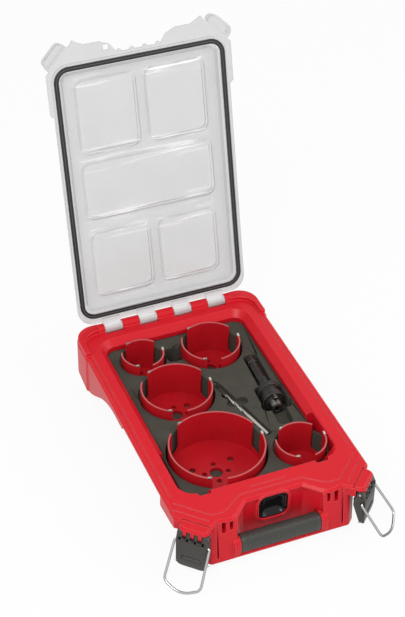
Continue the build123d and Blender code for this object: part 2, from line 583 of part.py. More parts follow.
def latch_lever(side):
    """Wedge-shaped lever with four fingers on the pin, a thumb groove and bores for the bail."""
    with BuildPart() as lever:
        with BuildSketch(section_plane(side)):
            shape(
                (LEVER_D, LEVER_SOLID_Z - 0.5, 0.0),
                (PIVOT_D + FIN_R - 0.1, PIVOT_Z, 0.0),
                (PIVOT_D + FIN_R - 0.1, PIVOT_Z + FIN_R - 0.1, FIN_R - 0.2),
                (PIVOT_D - FIN_R + 0.1, PIVOT_Z + FIN_R - 0.1, FIN_R - 0.2),
                (PIVOT_D - FIN_R + 0.1, LEVER_SOLID_Z, 0.0),
                (LEVER_D - 14.6, LEVER_SOLID_Z, 1.5),
                (LEVER_D - 14.6, BAIL_Z - 6.0, 4.0),
                (LEVER_D - 4.5, LEVER_BASE_Z, 1.0),
                (LEVER_D - 1.0, LEVER_BASE_Z, 1.5),
                (LEVER_D, LEVER_BASE_Z + 9.0, 4.0),
            )
        extrude(amount=LEVER_HALF, both=True)
        # rounded lower corners
        with BuildSketch(face_plane(side, LEVER_D - 20.0)):
            shape(
                (-LEVER_HALF, PIVOT_Z + FIN_R, 0.0), (LEVER_HALF, PIVOT_Z + FIN_R, 0.0),
                (LEVER_HALF, LEVER_BASE_Z, 9.0), (-LEVER_HALF, LEVER_BASE_Z, 9.0),
            )
        extrude(amount=25.0, mode=Mode.INTERSECT)
        # gaps for the fins
        with BuildSketch(face_plane(side, LEVER_D - 20.0)):
            for step in (-1, 0, 1):
                with Locations((step * FIN_PITCH, LEVER_SOLID_Z + 10.0)):
                    Rectangle(FIN_W + 2 * FIN_GAP, 20.0)
        extrude(amount=25.0, mode=Mode.SUBTRACT)
        # thumb groove
        with BuildSketch(section_plane(side)):
            with Locations((LEVER_D + THUMB_GROOVE[1], THUMB_GROOVE[2])):
                Circle(THUMB_GROOVE[0])
        extrude(amount=LEVER_HALF - 7.0, both=True, mode=Mode.SUBTRACT)
        # bores for the pin and for the bail's ends
        with BuildSketch(section_plane(side)):
            with Locations((PIVOT_D, PIVOT_Z)):
                Circle(PIN_R + PIN_FIT)
            with Locations((BAIL_D, BAIL_Z)):
                Circle(BAIL_WIRE_R + PIN_FIT)
        extrude(amount=LEVER_HALF + 1.0, both=True, mode=Mode.SUBTRACT)
    return lever


def bail_path_plane(side):
    """Plane of the hanging bail: local x along the corner, local y down the bail from its pivot."""
    lean = math.acos((BAIL_Z - BAIL_WIRE_R - 0.15) / BAIL_LENGTH)
    x, y = corner_point(0.0, BAIL_D)
    out = Vector(side, -1, 0).normalized() * math.sin(lean)
    down = Vector(out.X, out.Y, -math.cos(lean))
    along = Vector(1, side, 0).normalized()
    return Plane(origin=(side * x, y, BAIL_Z), x_dir=along, z_dir=along.cross(down))


def wire_bail(side):
    """Bent wire: two stubs in the lever, two legs and a bowed cross wire, one swept round section."""
    with BuildPart() as bail:
        with BuildLine(bail_path_plane(side)) as path:
            low = BAIL_LENGTH - BAIL_SAG
            stub = LEVER_HALF - BAIL_STUB
            FilletPolyline(
                (-stub, 0), (-BAIL_HALF, 0), (-BAIL_HALF - 1.2, low), (0, BAIL_LENGTH + 2.4),
                (BAIL_HALF + 1.2, low), (BAIL_HALF, 0), (stub, 0),
                radius=(2.2, BAIL_R, 26.0, BAIL_R, 2.2),
            )
        with BuildSketch(Plane(origin=path.wire() @ 0, z_dir=path.wire() % 0)):
            Circle(BAIL_WIRE_R)
        sweep(path=path.wire())
    return bail


for name, side in (("right", 1), ("left", -1)):
    finish(latch_pin(side), f"latch_pin_{name}")
    finish(latch_lever(side), f"latch_lever_{name}")
    finish(wire_bail(side), f"wire_bail_{name}")


# ------------------------------------------------------------------ lid
def lid_corner(along, distance, radius):
    """Outline point of the lid from the closed lid's place in the corner frame."""
    x, y = corner_point(along, distance)
    return (x, y - HINGE_Y, radius)


def lid_outline():
    """Plan of the lid in its own plane, hinge side first."""
    leg_gap = BAIL_HALF + BAIL_WIRE_R + 0.8
    outline(
        (27.5, -352.0, 1.5),
        (35.0, -363.0, 4.0),
        (48.0, -368.5, 4.0),
        (67.0, -368.5, 4.0),
        (76.0, -373.0, 3.0),
        (80.5, -376.5, 2.0),
        lid_corner(-leg_gap, LOBE_ROOT_D, 1.0),
        lid_corner(-BLOCK_HALF, LOBE_ROOT_D, 1.0),
        lid_corner(-BLOCK_HALF, LOBE_D, 8.0),
        lid_corner(BLOCK_HALF, LOBE_D, 10.0),
        lid_corner(BLOCK_HALF, LOBE_ROOT_D, 1.0),
        lid_corner(leg_gap, LOBE_ROOT_D, 1.0),
        (LID_HALF[1], -336.0, 1.0),
        (LID_HALF[1], -LID_STEP_S - 3.0, 3.0),
        (LID_HALF[0], -LID_STEP_S, 3.0),
        (LID_HALF[0], -LID_START_S, LID_BACK_R),
    )


def gasket_ring(outward=0.0, width=GASKET_W):
    """Rounded ring that the gasket follows, grown outwards and given a width."""
    length = GASKET_S[1] - GASKET_S[0]
    with Locations((0, -(GASKET_S[0] + GASKET_S[1]) / 2)):
        RectangleRounded(2 * (GASKET_HALF + outward), length + 2 * outward, GASKET_R + outward)
        RectangleRounded(2 * (GASKET_HALF + outward - width), length + 2 * (outward - width),
                         GASKET_R + outward - width, mode=Mode.SUBTRACT)


def tray_face(inset=0.0):
    """Raised middle of the lid, inside the gasket."""
    margin = GASKET_W + 2.0 + inset
    with Locations((0, -(GASKET_S[0] + GASKET_S[1]) / 2)):
        RectangleRounded(2 * (GASKET_HALF - margin), GASKET_S[1] - GASKET_S[0] - 2 * margin,
                         GASKET_R - GASKET_W - 2.0 - inset / 2)


PAD_ROWS = (                # (centre x values, half width, near s, far s)
    ((-44.0, 44.0), 36.0, 232.0, 321.0),
    ((0.0,), 82.0, 147.0, 216.0),
    ((-44.0, 44.0), 36.0, 43.0, 124.0),
)


def pad_faces(grow=0.0):
    """The five pads of the lid."""
    for centres, half, near, far in PAD_ROWS:
        with Locations(*[(x, -(near + far) / 2) for x in centres]):
            RectangleRounded(2 * (half + grow), far - near + 2 * grow, 9.0 + grow)


with BuildPart() as lid_shell:
    # flange with its scalloped front edge
    with BuildSketch(lid_plane(LID_CLEAR)):
        lid_outline()
        with Locations(*[(x, -352.0) for x in (-24.6, -8.2, 8.2, 24.6)]):
            Circle(3.2)
        with Locations((-40.6, -360.4)):
            Rectangle(7.0, 7.0, mode=Mode.SUBTRACT)
    extrude(amount=LID_THICK)
    # channel that holds the gasket
    with BuildSketch(lid_plane(LID_CLEAR)):
        gasket_ring(outward=2.0, width=GASKET_W + 4.0)
    extrude(amount=GASKET_THICK + LID_THICK)
    # raised middle with sunk pads
    with BuildSketch(lid_plane(LID_CLEAR)):
        tray_face()
    extrude(amount=TRAY_RISE + LID_THICK)
    with BuildSketch(lid_plane(-1.0)):
        tray_face(inset=LID_THICK)
    extrude(amount=TRAY_RISE + LID_CLEAR + 1.0, mode=Mode.SUBTRACT)
    with BuildSketch(lid_plane(TRAY_RISE + LID_CLEAR - PAD_SINK)):
        pad_faces(grow=LID_THICK)
    extrude(amount=PAD_SINK + LID_THICK)
    with BuildSketch(lid_plane(TRAY_RISE + LID_CLEAR - PAD_SINK + LID_THICK)):
        pad_faces()
    extrude(amount=PAD_SINK + LID_THICK, mode=Mode.SUBTRACT)
    # corner lobes, hollow below
    for side in (1, -1):
        for inset, low, high, mode in ((1.5, LID_CLEAR, LOBE_RISE, Mode.ADD),
                                       (1.5 + LID_THICK, -1.0, LOBE_RISE - LID_THICK, Mode.SUBTRACT)):
            with BuildSketch(lid_plane(low)):
                lobe = (
                    lid_corner(-BLOCK_HALF + inset, LOBE_ROOT_D + inset, 2.0),
                    lid_corner(-BLOCK_HALF + inset, LOBE_D - inset, 8.0 - inset),
                    lid_corner(BLOCK_HALF - inset, LOBE_D - inset, 8.0 - inset),
                    lid_corner(BLOCK_HALF - inset, LOBE_ROOT_D + inset, 2.0),
                )
                shape(*[(side * x, y, r) for x, y, r in lobe])
            extrude(amount=high - low, mode=mode)
    # hinge lugs: a boss on the pin and a web up to the flange
    for side in (1, -1):
        for centre in LUG_X:
            with BuildSketch(Plane.YZ.offset(side * centre)):
                with Locations((HINGE_Y, RIM_Z)):
                    Circle(HINGE_R - 0.3)
            extrude(amount=LUG_W / 2, both=True)
            with BuildSketch(lid_plane(LID_CLEAR)):
                with Locations((side * centre, -(LID_START_S + 3.0) / 2)):
                    Rectangle(LUG_W, LID_START_S + 3.0)
            extrude(amount=5.0)
    with BuildSketch(Plane.YZ):
        with Locations((HINGE_Y, RIM_Z)):
            Circle(HINGE_PIN_R + HINGE_PIN_FIT)
    extrude(amount=RIM_HALF, both=True, mode=Mode.SUBTRACT)
    # groove for the gasket
    with BuildSketch(lid_plane(LID_CLEAR - 1.0)):
        gasket_ring()
    extrude(amount=GASKET_THICK + 1.0, mode=Mode.SUBTRACT)
finish(lid_shell, "lid_shell")

with BuildPart() as lid_gasket:
    with BuildSketch(lid_plane(LID_CLEAR)):
        gasket_ring()
    extrude(amount=GASKET_THICK)
    with BuildSketch(lid_plane(LID_CLEAR)):
        gasket_ring(outward=-GASKET_W / 2 + 0.7, width=1.4)
    extrude(amount=0.8, mode=Mode.SUBTRACT)
finish(lid_gasket, "lid_gasket")

# ------------------------------------------------------------------ foam insert
ARBOR_LENGTH = math.dist(ARBOR_TAIL, ARBOR_NOSE)
ARBOR_TURN = math.degrees(math.atan2(ARBOR_NOSE[0] - ARBOR_TAIL[0], ARBOR_TAIL[1] - ARBOR_NOSE[1]))


def arbor_spot(distance):
    """Plan location on the arbor's axis, at a distance from its nose."""
    share = distance / ARBOR_LENGTH
    x = ARBOR_NOSE[0] + (ARBOR_TAIL[0] - ARBOR_NOSE[0]) * share
    y = ARBOR_NOSE[1] + (ARBOR_TAIL[1] - ARBOR_NOSE[1]) * share
    return Location((x, y, 0), (0, 0, ARBOR_TURN))


with BuildPart() as foam_insert:
    with BuildSketch(Plane.XY.offset(BASE_Z + FLOOR)):
        with Locations((0, (INNER_FRONT_Y + INNER_BACK_Y) / 2)):
            RectangleRounded(2 * (INNER_HALF - FOAM_GAP), INNER_BACK_Y - INNER_FRONT_Y - 2 * FOAM_GAP,
                             INNER_R - FOAM_GAP)
    extrude(amount=FOAM_Z - BASE_Z - FLOOR)
    # a round pocket for each cup
    with BuildSketch(Plane.XY.offset(CUP_Z[0] - REST_GAP)):
        for x, y, radius, turn in CUPS.values():
            with Locations((x, y)):
                Circle(radius + POCKET_GAP)
    extrude(amount=RIM_Z, mode=Mode.SUBTRACT)
    # finger slots beside the cups
    with BuildSketch(Plane.XY.offset(CUP_Z[0] + 14.0)):
        with Locations(FINGER_SLOT[0]):
            RectangleRounded(*FINGER_SLOT[1], 6.0)
    extrude(amount=RIM_Z, mode=Mode.SUBTRACT)
    # pocket for the arbor: a wide part for its collar in a long trough
    with BuildSketch(Plane.XY.offset(ARBOR_Z - COLLAR_R - REST_GAP)):
        with Locations(arbor_spot((COLLAR_Y[0] - DRIVE_PIN_LENGTH + COLLAR_Y[1]) / 2)):
            RectangleRounded(2 * COLLAR_R + 6.0, COLLAR_Y[1] - COLLAR_Y[0] + DRIVE_PIN_LENGTH + 6.0, 6.0)
    extrude(amount=RIM_Z, mode=Mode.SUBTRACT)
    with BuildSketch(Plane.XY.offset(ARBOR_Z - NOSE_R - REST_GAP)):
        with Locations(arbor_spot(ARBOR_LENGTH / 2 - 14.0)):
            RectangleRounded(2 * NOSE_R + 3.0, ARBOR_LENGTH + 34.0, 6.0)
        with Locations(arbor_spot(4.0)):
            RectangleRounded(38.0, 16.0, 6.0)
    extrude(amount=RIM_Z, mode=Mode.SUBTRACT)
    # slot for the pilot bit, with a finger notch across it
    bit_dx = BIT_TO[0] - BIT_FROM[0]
    bit_dy = BIT_TO[1] - BIT_FROM[1]
    bit_length = math.hypot(bit_dx, bit_dy)
    bit_turn = math.degrees(math.atan2(bit_dy, bit_dx))
    bit_mid = ((BIT_FROM[0] + BIT_TO[0]) / 2, (BIT_FROM[1] + BIT_TO[1]) / 2)
    with BuildSketch(Plane.XY.offset(FOAM_Z - BIT_DEPTH)):
        with Locations(Location((bit_mid[0] - 1.5, bit_mid[1] + 8.0, 0), (0, 0, bit_turn))):
            RectangleRounded(bit_length + 22.0, 2 * BIT_R + 2.4, 3.0)
        with Locations(BIT_NOTCH[0]):
            RectangleRounded(*BIT_NOTCH[1], 5.0)
    extrude(amount=RIM_Z, mode=Mode.SUBTRACT)
finish(foam_insert, "foam_insert")


# ------------------------------------------------------------------ hole saws
def slot_width(radius):
    """Width of the slots in a cup of this radius."""
    return min(SLOT_W, radius * SLOT_SHARE)


def saw_cup(x, y, radius, turn):
    """Open steel cup with an end plate, a centre hole, drive holes and slots down from its rim."""
    low, high = CUP_Z
    slot_w = slot_width(radius)
    with BuildPart() as cup:
        with BuildSketch(Plane(origin=(x, y, 0), x_dir=(1, 0, 0), z_dir=(0, -1, 0))):
            with BuildLine():
                Polyline((0, low), (radius, low), (radius, high), (radius - CUP_WALL, high),
                         (radius - CUP_WALL, low + CUP_PLATE), (0, low + CUP_PLATE), close=True)
            make_face()
        revolve(axis=Axis((x, y, 0), (0, 0, 1)))
        with BuildSketch(Plane.XY.offset(low)):
            with Locations((x, y)):
                Circle(7.9)
                with PolarLocations(14.4, 4, -8):
                    Circle(3.2)
            if radius > 40:
                with Locations((x, y)):
                    with PolarLocations(radius * 0.5, 3, 32):
                        Circle(4.0)
        extrude(amount=CUP_PLATE, mode=Mode.SUBTRACT)
        for index in range(SLOTS):
            angle = turn + 360 * index / SLOTS
            reach = Plane(origin=(x, y, 0), z_dir=(math.cos(math.radians(angle)), math.sin(math.radians(angle)), 0),
                          x_dir=(-math.sin(math.radians(angle)), math.cos(math.radians(angle)), 0))
            with BuildSketch(reach.offset(radius * 0.6)):
                with Locations((0, high)):
                    RectangleRounded(slot_w, 2 * SLOT_DEPTH, 5.0)
            extrude(amount=radius * 0.5, mode=Mode.SUBTRACT)
    return cup


def saw_tooth(x, y, radius, angle):
    """Carbide tooth brazed on the rim at one side of a slot."""
    along, across, height = TOOTH
    theta = math.radians(angle) - (slot_width(radius) / 2 + along / 2 + 0.6) / radius
    seat = Plane(origin=(x, y, 0), z_dir=(math.cos(theta), math.sin(theta), 0),
                 x_dir=(-math.sin(theta), math.cos(theta), 0))
    with BuildPart() as tooth:
        with BuildSketch(seat.offset(radius - CUP_WALL / 2 - across / 2)):
            shape(
                (-along / 2, CUP_Z[1], 0.0),
                (along / 2, CUP_Z[1], 0.0),
                (along / 2 - 0.8, CUP_Z[1] + height, 0.0),
                (-along / 2, CUP_Z[1] + height * 0.3, 0.0),
            )
        extrude(amount=across)
    return tooth


for name, (x, y, radius, turn) in CUPS.items():
    finish(saw_cup(x, y, radius, turn), f"saw_{name}")
    for index in range(SLOTS):
        finish(saw_tooth(x, y, radius, turn + 360 * index / SLOTS), f"tooth_{name}_{index + 1}")


# ------------------------------------------------------------------ arbor
def arbor_plane(distance):
    """Plane across the arbor at a distance from its nose, facing the shank."""
    spot = arbor_spot(distance).position
    along = (ARBOR_TAIL[0] - ARBOR_NOSE[0], ARBOR_TAIL[1] - ARBOR_NOSE[1], 0)
    return Plane(origin=(spot.X, spot.Y, ARBOR_Z), x_dir=(0, 0, 1), z_dir=along)


with BuildPart() as arbor_body:
    with BuildSketch(arbor_plane(0.0)):
        Circle(NOSE_R)
    extrude(amount=COLLAR_Y[0])
    chamfer(arbor_body.edges().sort_by(Axis.Y)[0], 1.2)
    with BuildSketch(arbor_plane(COLLAR_Y[0])):
        Circle(NECK_R + 3.0)
    extrude(amount=COLLAR_Y[1] - COLLAR_Y[0] + 3.0)
    with BuildSketch(arbor_plane(COLLAR_Y[1] + 3.0)):
        Circle(NECK_R)
    extrude(amount=ARBOR_LENGTH - SHANK_LENGTH - COLLAR_Y[1] - 3.0)
    with BuildSketch(arbor_plane(-1.0)):
        Circle(BIT_R + 0.1)
    extrude(amount=COLLAR_Y[1], mode=Mode.SUBTRACT)
finish(arbor_body, "arbor_body")

with BuildPart() as arbor_shank:
    with BuildSketch(arbor_plane(ARBOR_LENGTH - SHANK_LENGTH)):
        RegularPolygon(SHANK_FLATS / 2, 6, major_radius=False)
    extrude(amount=SHANK_LENGTH)
    chamfer(arbor_shank.faces().sort_by(Axis.Y)[-1].edges(), 1.0)
    with BuildSketch(arbor_plane(ARBOR_LENGTH - 14.0)):
        Circle(SHANK_FLATS)
        Circle(SHANK_FLATS / 2 - 0.6, mode=Mode.SUBTRACT)
    extrude(amount=4.0, mode=Mode.SUBTRACT)
finish(arbor_shank, "arbor_shank")

with BuildPart() as arbor_collar:
    with BuildSketch(arbor_plane(COLLAR_Y[0])):
        Circle(COLLAR_R)
        Circle(NECK_R + 3.0, mode=Mode.SUBTRACT)
    extrude(amount=COLLAR_Y[1] - COLLAR_Y[0])
    # finger ring turned between two flanges
    with BuildSketch(arbor_plane(COLLAR_Y[0] + 7.0)):
        Circle(COLLAR_R + 1.0)
        Circle(COLLAR_R - 2.0, mode=Mode.SUBTRACT)
    extrude(amount=11.0, mode=Mode.SUBTRACT)
finish(arbor_collar, "arbor_collar")

for index, turn in enumerate((0, 180)):
    with BuildPart() as drive_pin:
        with BuildSketch(arbor_plane(COLLAR_Y[0] - DRIVE_PIN_LENGTH)):
            with PolarLocations(COLLAR_R - DRIVE_PIN_R - 0.6, 1, turn):
                Circle(DRIVE_PIN_R)
        extrude(amount=DRIVE_PIN_LENGTH)
        chamfer(drive_pin.edges().sort_by(Axis.Y)[0], 0.6)
    finish(drive_pin, f"drive_pin_{index + 1}")

# ------------------------------------------------------------------ pilot bit
with BuildPart() as pilot_bit:
    bit_axis = Plane(origin=(*BIT_FROM, FOAM_Z - BIT_DEPTH + REST_GAP + BIT_R), x_dir=(0, 0, 1),
                     z_dir=(bit_dx, bit_dy, 0))
    with BuildSketch(bit_axis):
        Circle(BIT_R)
    extrude(amount=bit_length)
    chamfer(pilot_bit.edges().sort_by(Axis.Y)[0], BIT_R * 0.7, BIT_R * 0.7)
finish(pilot_bit, "pilot_bit")
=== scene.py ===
"""Looks of the saw blade storage case: a shallow tool case with a clear hinged lid.

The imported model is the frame. Each sub-assembly is a class that builds its meshes and dresses them.
All lengths are in metres. X runs across the case, -Y is its front and Z is up.
"""
import logging
import math
from dataclasses import dataclass
from enum import Enum

import bmesh
import bpy
from mathutils import Matrix, Vector


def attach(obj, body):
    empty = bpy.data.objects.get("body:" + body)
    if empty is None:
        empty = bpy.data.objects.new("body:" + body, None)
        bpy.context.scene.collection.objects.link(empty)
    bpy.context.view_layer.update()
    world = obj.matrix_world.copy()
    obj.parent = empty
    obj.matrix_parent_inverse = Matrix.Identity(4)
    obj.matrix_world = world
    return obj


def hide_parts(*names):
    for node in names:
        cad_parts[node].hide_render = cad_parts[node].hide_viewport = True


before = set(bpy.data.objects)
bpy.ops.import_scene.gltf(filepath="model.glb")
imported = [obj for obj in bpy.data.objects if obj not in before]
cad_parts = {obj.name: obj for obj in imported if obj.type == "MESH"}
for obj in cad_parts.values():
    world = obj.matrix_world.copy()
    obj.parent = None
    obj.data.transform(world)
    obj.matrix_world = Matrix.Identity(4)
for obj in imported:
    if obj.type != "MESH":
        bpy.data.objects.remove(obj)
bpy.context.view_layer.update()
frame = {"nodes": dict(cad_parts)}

log = logging.getLogger("saw_case")

MM = 0.001
WELD = 2e-6
SMOOTH_ANGLE = math.radians(32)
ROUNDING_ANGLE = math.radians(35)   # edges sharper than this are rounded
ROUNDING_STEPS = 2
COLOUR_A, COLOUR_B, COLOUR_RESULT = 6, 7, 2     # colour sockets of a Mix node
EDGE_SAMPLES = 6
EDGE_MASK = (0.78, 0.98)    # dot products of soft and flat normal, at an edge and off it
WHITE = (1.0, 1.0, 1.0)


class Side(Enum):
    """Left or right corner of the case's front."""

    LEFT = -1
    RIGHT = 1

    @property
    def label(self) -> str:
        """Name used in node and body names."""
        return self.name.lower()


# ---------------------------------------------------------------- node materials
class Board:
    """Small helper that places and links shader nodes of one material."""

    def __init__(self, name: str) -> None:
        """Start a material with an empty tree.

        Args:
            name: name of the material.
        """
        self.material = bpy.data.materials.new(name)
        self.material.use_nodes = True
        self.tree = self.material.node_tree
        self.tree.nodes.clear()
        self.output = self.tree.nodes.new("ShaderNodeOutputMaterial")

    def add(self, kind: str, **values: object) -> bpy.types.Node:
        """Add a node and set its sockets or properties.

        Args:
            kind: node type without its ShaderNode prefix.
            values: socket names with spaces as underscores, or property names.

        Returns:
            The new node.
        """
        node = self.tree.nodes.new("ShaderNode" + kind)
        for key, value in values.items():
            socket = key.replace("_", " ")
            if hasattr(node, key) and socket not in node.inputs:
                setattr(node, key, value)
            else:
                node.inputs[socket].default_value = value
        return node

    def link(self, start: bpy.types.NodeSocket, end: bpy.types.NodeSocket) -> None:
        """Link an output socket to an input socket."""
        self.tree.links.new(start, end)

    def place(self, scale: tuple[float, float, float] = (1.0, 1.0, 1.0)) -> bpy.types.NodeSocket:
        """Object coordinates, stretched.

        Args:
            scale: stretch of the pattern along each axis.

        Returns:
            The vector socket to feed a texture.
        """
        coords = self.add("TexCoord")
        mapping = self.add("Mapping", Scale=scale)
        self.link(coords.outputs["Object"], mapping.inputs["Vector"])
        return mapping.outputs["Vector"]

    def noise(self, where: bpy.types.NodeSocket, scale: float, detail: float = 2.0) -> bpy.types.NodeSocket:
        """Noise at a place.

        Args:
            where: vector socket.
            scale: number of lumps per metre.
            detail: octaves of the noise.

        Returns:
            The factor socket.
        """
        texture = self.add("TexNoise", Scale=scale, Detail=detail)
        self.link(where, texture.inputs["Vector"])
        return texture.outputs[0]

    def blend(
        self, factor: bpy.types.NodeSocket, low: tuple[float, ...], high: tuple[float, ...]
    ) -> bpy.types.NodeSocket:
        """Colour mix between two fixed colours.

        Args:
            factor: socket that steers the mix.
            low: colour at 0.
            high: colour at 1.

        Returns:
            The colour socket.
        """
        mix = self.add("Mix", data_type="RGBA")
        mix.inputs[COLOUR_A].default_value = (*low, 1.0)
        mix.inputs[COLOUR_B].default_value = (*high, 1.0)
        self.link(factor, mix.inputs[0])
        return mix.outputs[COLOUR_RESULT]

    def span(
        self, value: bpy.types.NodeSocket, low: float, high: float, start: float, end: float
    ) -> bpy.types.NodeSocket:
        """Map a value from one range to another, clamped.

        Args:
            value: socket to map.
            low: value that gives start.
            high: value that gives end.
            start: result at low.
            end: result at high.

        Returns:
            The result socket.
        """
        node = self.add("MapRange")
        self.link(value, node.inputs["Value"])
        node.inputs["From Min"].default_value = low
        node.inputs["From Max"].default_value = high
        node.inputs["To Min"].default_value = start
        node.inputs["To Max"].default_value = end
        return node.outputs["Result"]

    def relief(
        self, height: bpy.types.NodeSocket, depth: float, strength: float = 1.0,
        under: bpy.types.NodeSocket | None = None,
    ) -> bpy.types.NodeSocket:
        """Bump of a height pattern.

        Args:
            height: socket with the pattern.
            depth: height of the pattern in metres.
            strength: share of the bump that is kept.
            under: normal that the bump is laid over.

        Returns:
            The normal socket.
        """
        bump = self.add("Bump", Strength=strength, Distance=depth)
        self.link(height, bump.inputs["Height"])
        if under is not None:
            self.link(under, bump.inputs["Normal"])
        return bump.outputs["Normal"]

    def done(self, shader: bpy.types.Node) -> bpy.types.Material:
        """Link the last shader to the output and hand out the material."""
        self.link(shader.outputs[0], self.output.inputs[0])
        return self.material

    def math(self, operation: str, first: object, second: object = 0.0) -> bpy.types.NodeSocket:
        """Calculate with sockets or numbers.

        Args:
            operation: name of the Math operation.
            first: socket or number.
            second: socket or number.

        Returns:
            The result socket.
        """
        node = self.add("Math", operation=operation)
        for slot, value in enumerate((first, second)):
            if isinstance(value, bpy.types.NodeSocket):
                self.link(value, node.inputs[slot])
            else:
                node.inputs[slot].default_value = value
        return node.outputs[0]

    def over(
        self, factor: bpy.types.NodeSocket, under: bpy.types.NodeSocket, colour: tuple[float, ...]
    ) -> bpy.types.NodeSocket:
        """Lay a fixed colour over another colour.

        Args:
            factor: socket with the share of the fixed colour.
            under: colour socket below.
            colour: the fixed colour.

        Returns:
            The colour socket.
        """
        mix = self.add("Mix", data_type="RGBA")
        self.link(factor, mix.inputs[0])
        self.link(under, mix.inputs[COLOUR_A])
        mix.inputs[COLOUR_B].default_value = (*colour, 1.0)
        return mix.outputs[COLOUR_RESULT]

    def distance(self, direction: Vector, start: Vector) -> bpy.types.NodeSocket:
        """Distance of the shaded point from a start along a direction.

        Args:
            direction: unit vector.
            start: where the distance is 0.

        Returns:
            The distance socket, in metres.
        """
        coords = self.add("TexCoord")
        dot = self.add("VectorMath", operation="DOT_PRODUCT")
        self.link(coords.outputs["Object"], dot.inputs[0])
        dot.inputs[1].default_value = direction
        return self.math("SUBTRACT", dot.outputs["Value"], direction.dot(start))

    def rounded(self, radius: float) -> tuple[bpy.types.NodeSocket, bpy.types.NodeSocket]:
        """Soft normal at the sharp edges, and a mask of them.

        Args:
            radius: radius of the softening in metres.

        Returns:
            The normal socket and the mask socket.
        """
        soft = self.add("Bevel", Radius=radius)
        soft.samples = EDGE_SAMPLES
        flat = self.add("NewGeometry")
        dot = self.add("VectorMath", operation="DOT_PRODUCT")
        self.link(soft.outputs[0], dot.inputs[0])
        self.link(flat.outputs["Normal"], dot.inputs[1])
        return soft.outputs[0], self.span(dot.outputs["Value"], *EDGE_MASK, 1.0, 0.0)


def tint(colour: tuple[float, float, float], share: float) -> tuple[float, float, float]:
    """Colour made lighter or darker by a share."""
    return tuple(min(1.0, channel * (1.0 + share)) for channel in colour)


@dataclass(frozen=True)
class Moulding:
    """Moulded plastic with a fine grain, a slight drift of its colour, and a painted highlight along its
    sharp edges.
    """

    name: str
    colour: tuple[float, float, float]
    roughness: float = 0.4
    drift: float = 0.10
    grain: float = 0.0009
    relief: float = 0.00004
    coat: float = 0.0
    specular: float = 0.5
    edge: float = 0.0006
    # The next two fields set the painted highlight: a paler colour laid along the sharp edges, and its share.
    edge_highlight_colour: tuple[float, float, float] = (0.12, 0.12, 0.12)
    edge_highlight_share: float = 0.35

    def make(self) -> bpy.types.Material:
        """Build the material.

        Returns:
            The finished material.
        """
        board = Board(self.name)
        shader = board.add("BsdfPrincipled", Coat_Weight=self.coat, Coat_Roughness=0.12,
                           Specular_IOR_Level=self.specular)
        where = board.place()
        cloud = board.noise(where, 18.0, 3.0)
        colour = board.blend(cloud, tint(self.colour, -self.drift), tint(self.colour, self.drift))
        normal, sharp = board.rounded(self.edge)
        # Painted highlight: the base colour turns paler along sharp edges, convex and concave alike.
        paler = board.math("MULTIPLY", sharp, self.edge_highlight_share)
        board.link(board.over(paler, colour, self.edge_highlight_colour), shader.inputs["Base Color"])
        grain = board.noise(where, 1.0 / self.grain)
        rough = board.span(grain, 0.3, 0.7, self.roughness - 0.05, self.roughness + 0.07)
        board.link(rough, shader.inputs["Roughness"])
        board.link(board.relief(grain, self.relief, under=normal), shader.inputs["Normal"])
        return board.done(shader)


@dataclass(frozen=True)
class Metal:
    """Metal with fine lines along one axis, worn at its edges, and with a painted dark reflection where it
    turns away from the camera.
    """

    name: str
    colour: tuple[float, float, float]
    roughness: float
    stretch: tuple[float, float, float] = (1.0, 1.0, 1.0)
    lines: float = 900.0
    relief: float = 0.00001
    metallic: float = 1.0
    worn: tuple[float, float, float] = (0.6, 0.6, 0.6)
    worn_share: float = 0.0
    edge: float = 0.0005
    # The next two fields set the painted dark reflection: the facing range over which it grows, and its
    # share.
    rim: tuple[float, float] = (0.20, 0.60)
    dark_reflection_share: float = 0.0

    def make(self) -> bpy.types.Material:
        """Build the material.

        Returns:
            The finished material.
        """
        board = Board(self.name)
        shader = board.add("BsdfPrincipled", Metallic=self.metallic)
        where = board.place(self.stretch)
        scratch = board.noise(where, self.lines, 3.0)
        colour = board.blend(scratch, tint(self.colour, -0.12), tint(self.colour, 0.08))
        normal, sharp = board.rounded(self.edge)
        wear = board.math("MULTIPLY", sharp, self.worn_share)
        worn = board.over(wear, colour, self.worn)
        # Painted dark reflection: the colour turns near black where the surface turns away from the camera.
        facing = board.add("LayerWeight", Blend=0.5).outputs["Facing"]
        rim = board.math("MULTIPLY", board.span(facing, *self.rim, 0.0, 1.0), self.dark_reflection_share)
        board.link(board.over(rim, worn, tint(self.colour, -0.9)), shader.inputs["Base Color"])
        rough = board.span(scratch, 0.25, 0.75, self.roughness * 0.7, self.roughness * 1.35)
        board.link(rough, shader.inputs["Roughness"])
        board.link(board.relief(scratch, self.relief, under=normal), shader.inputs["Normal"])
        return board.done(shader)


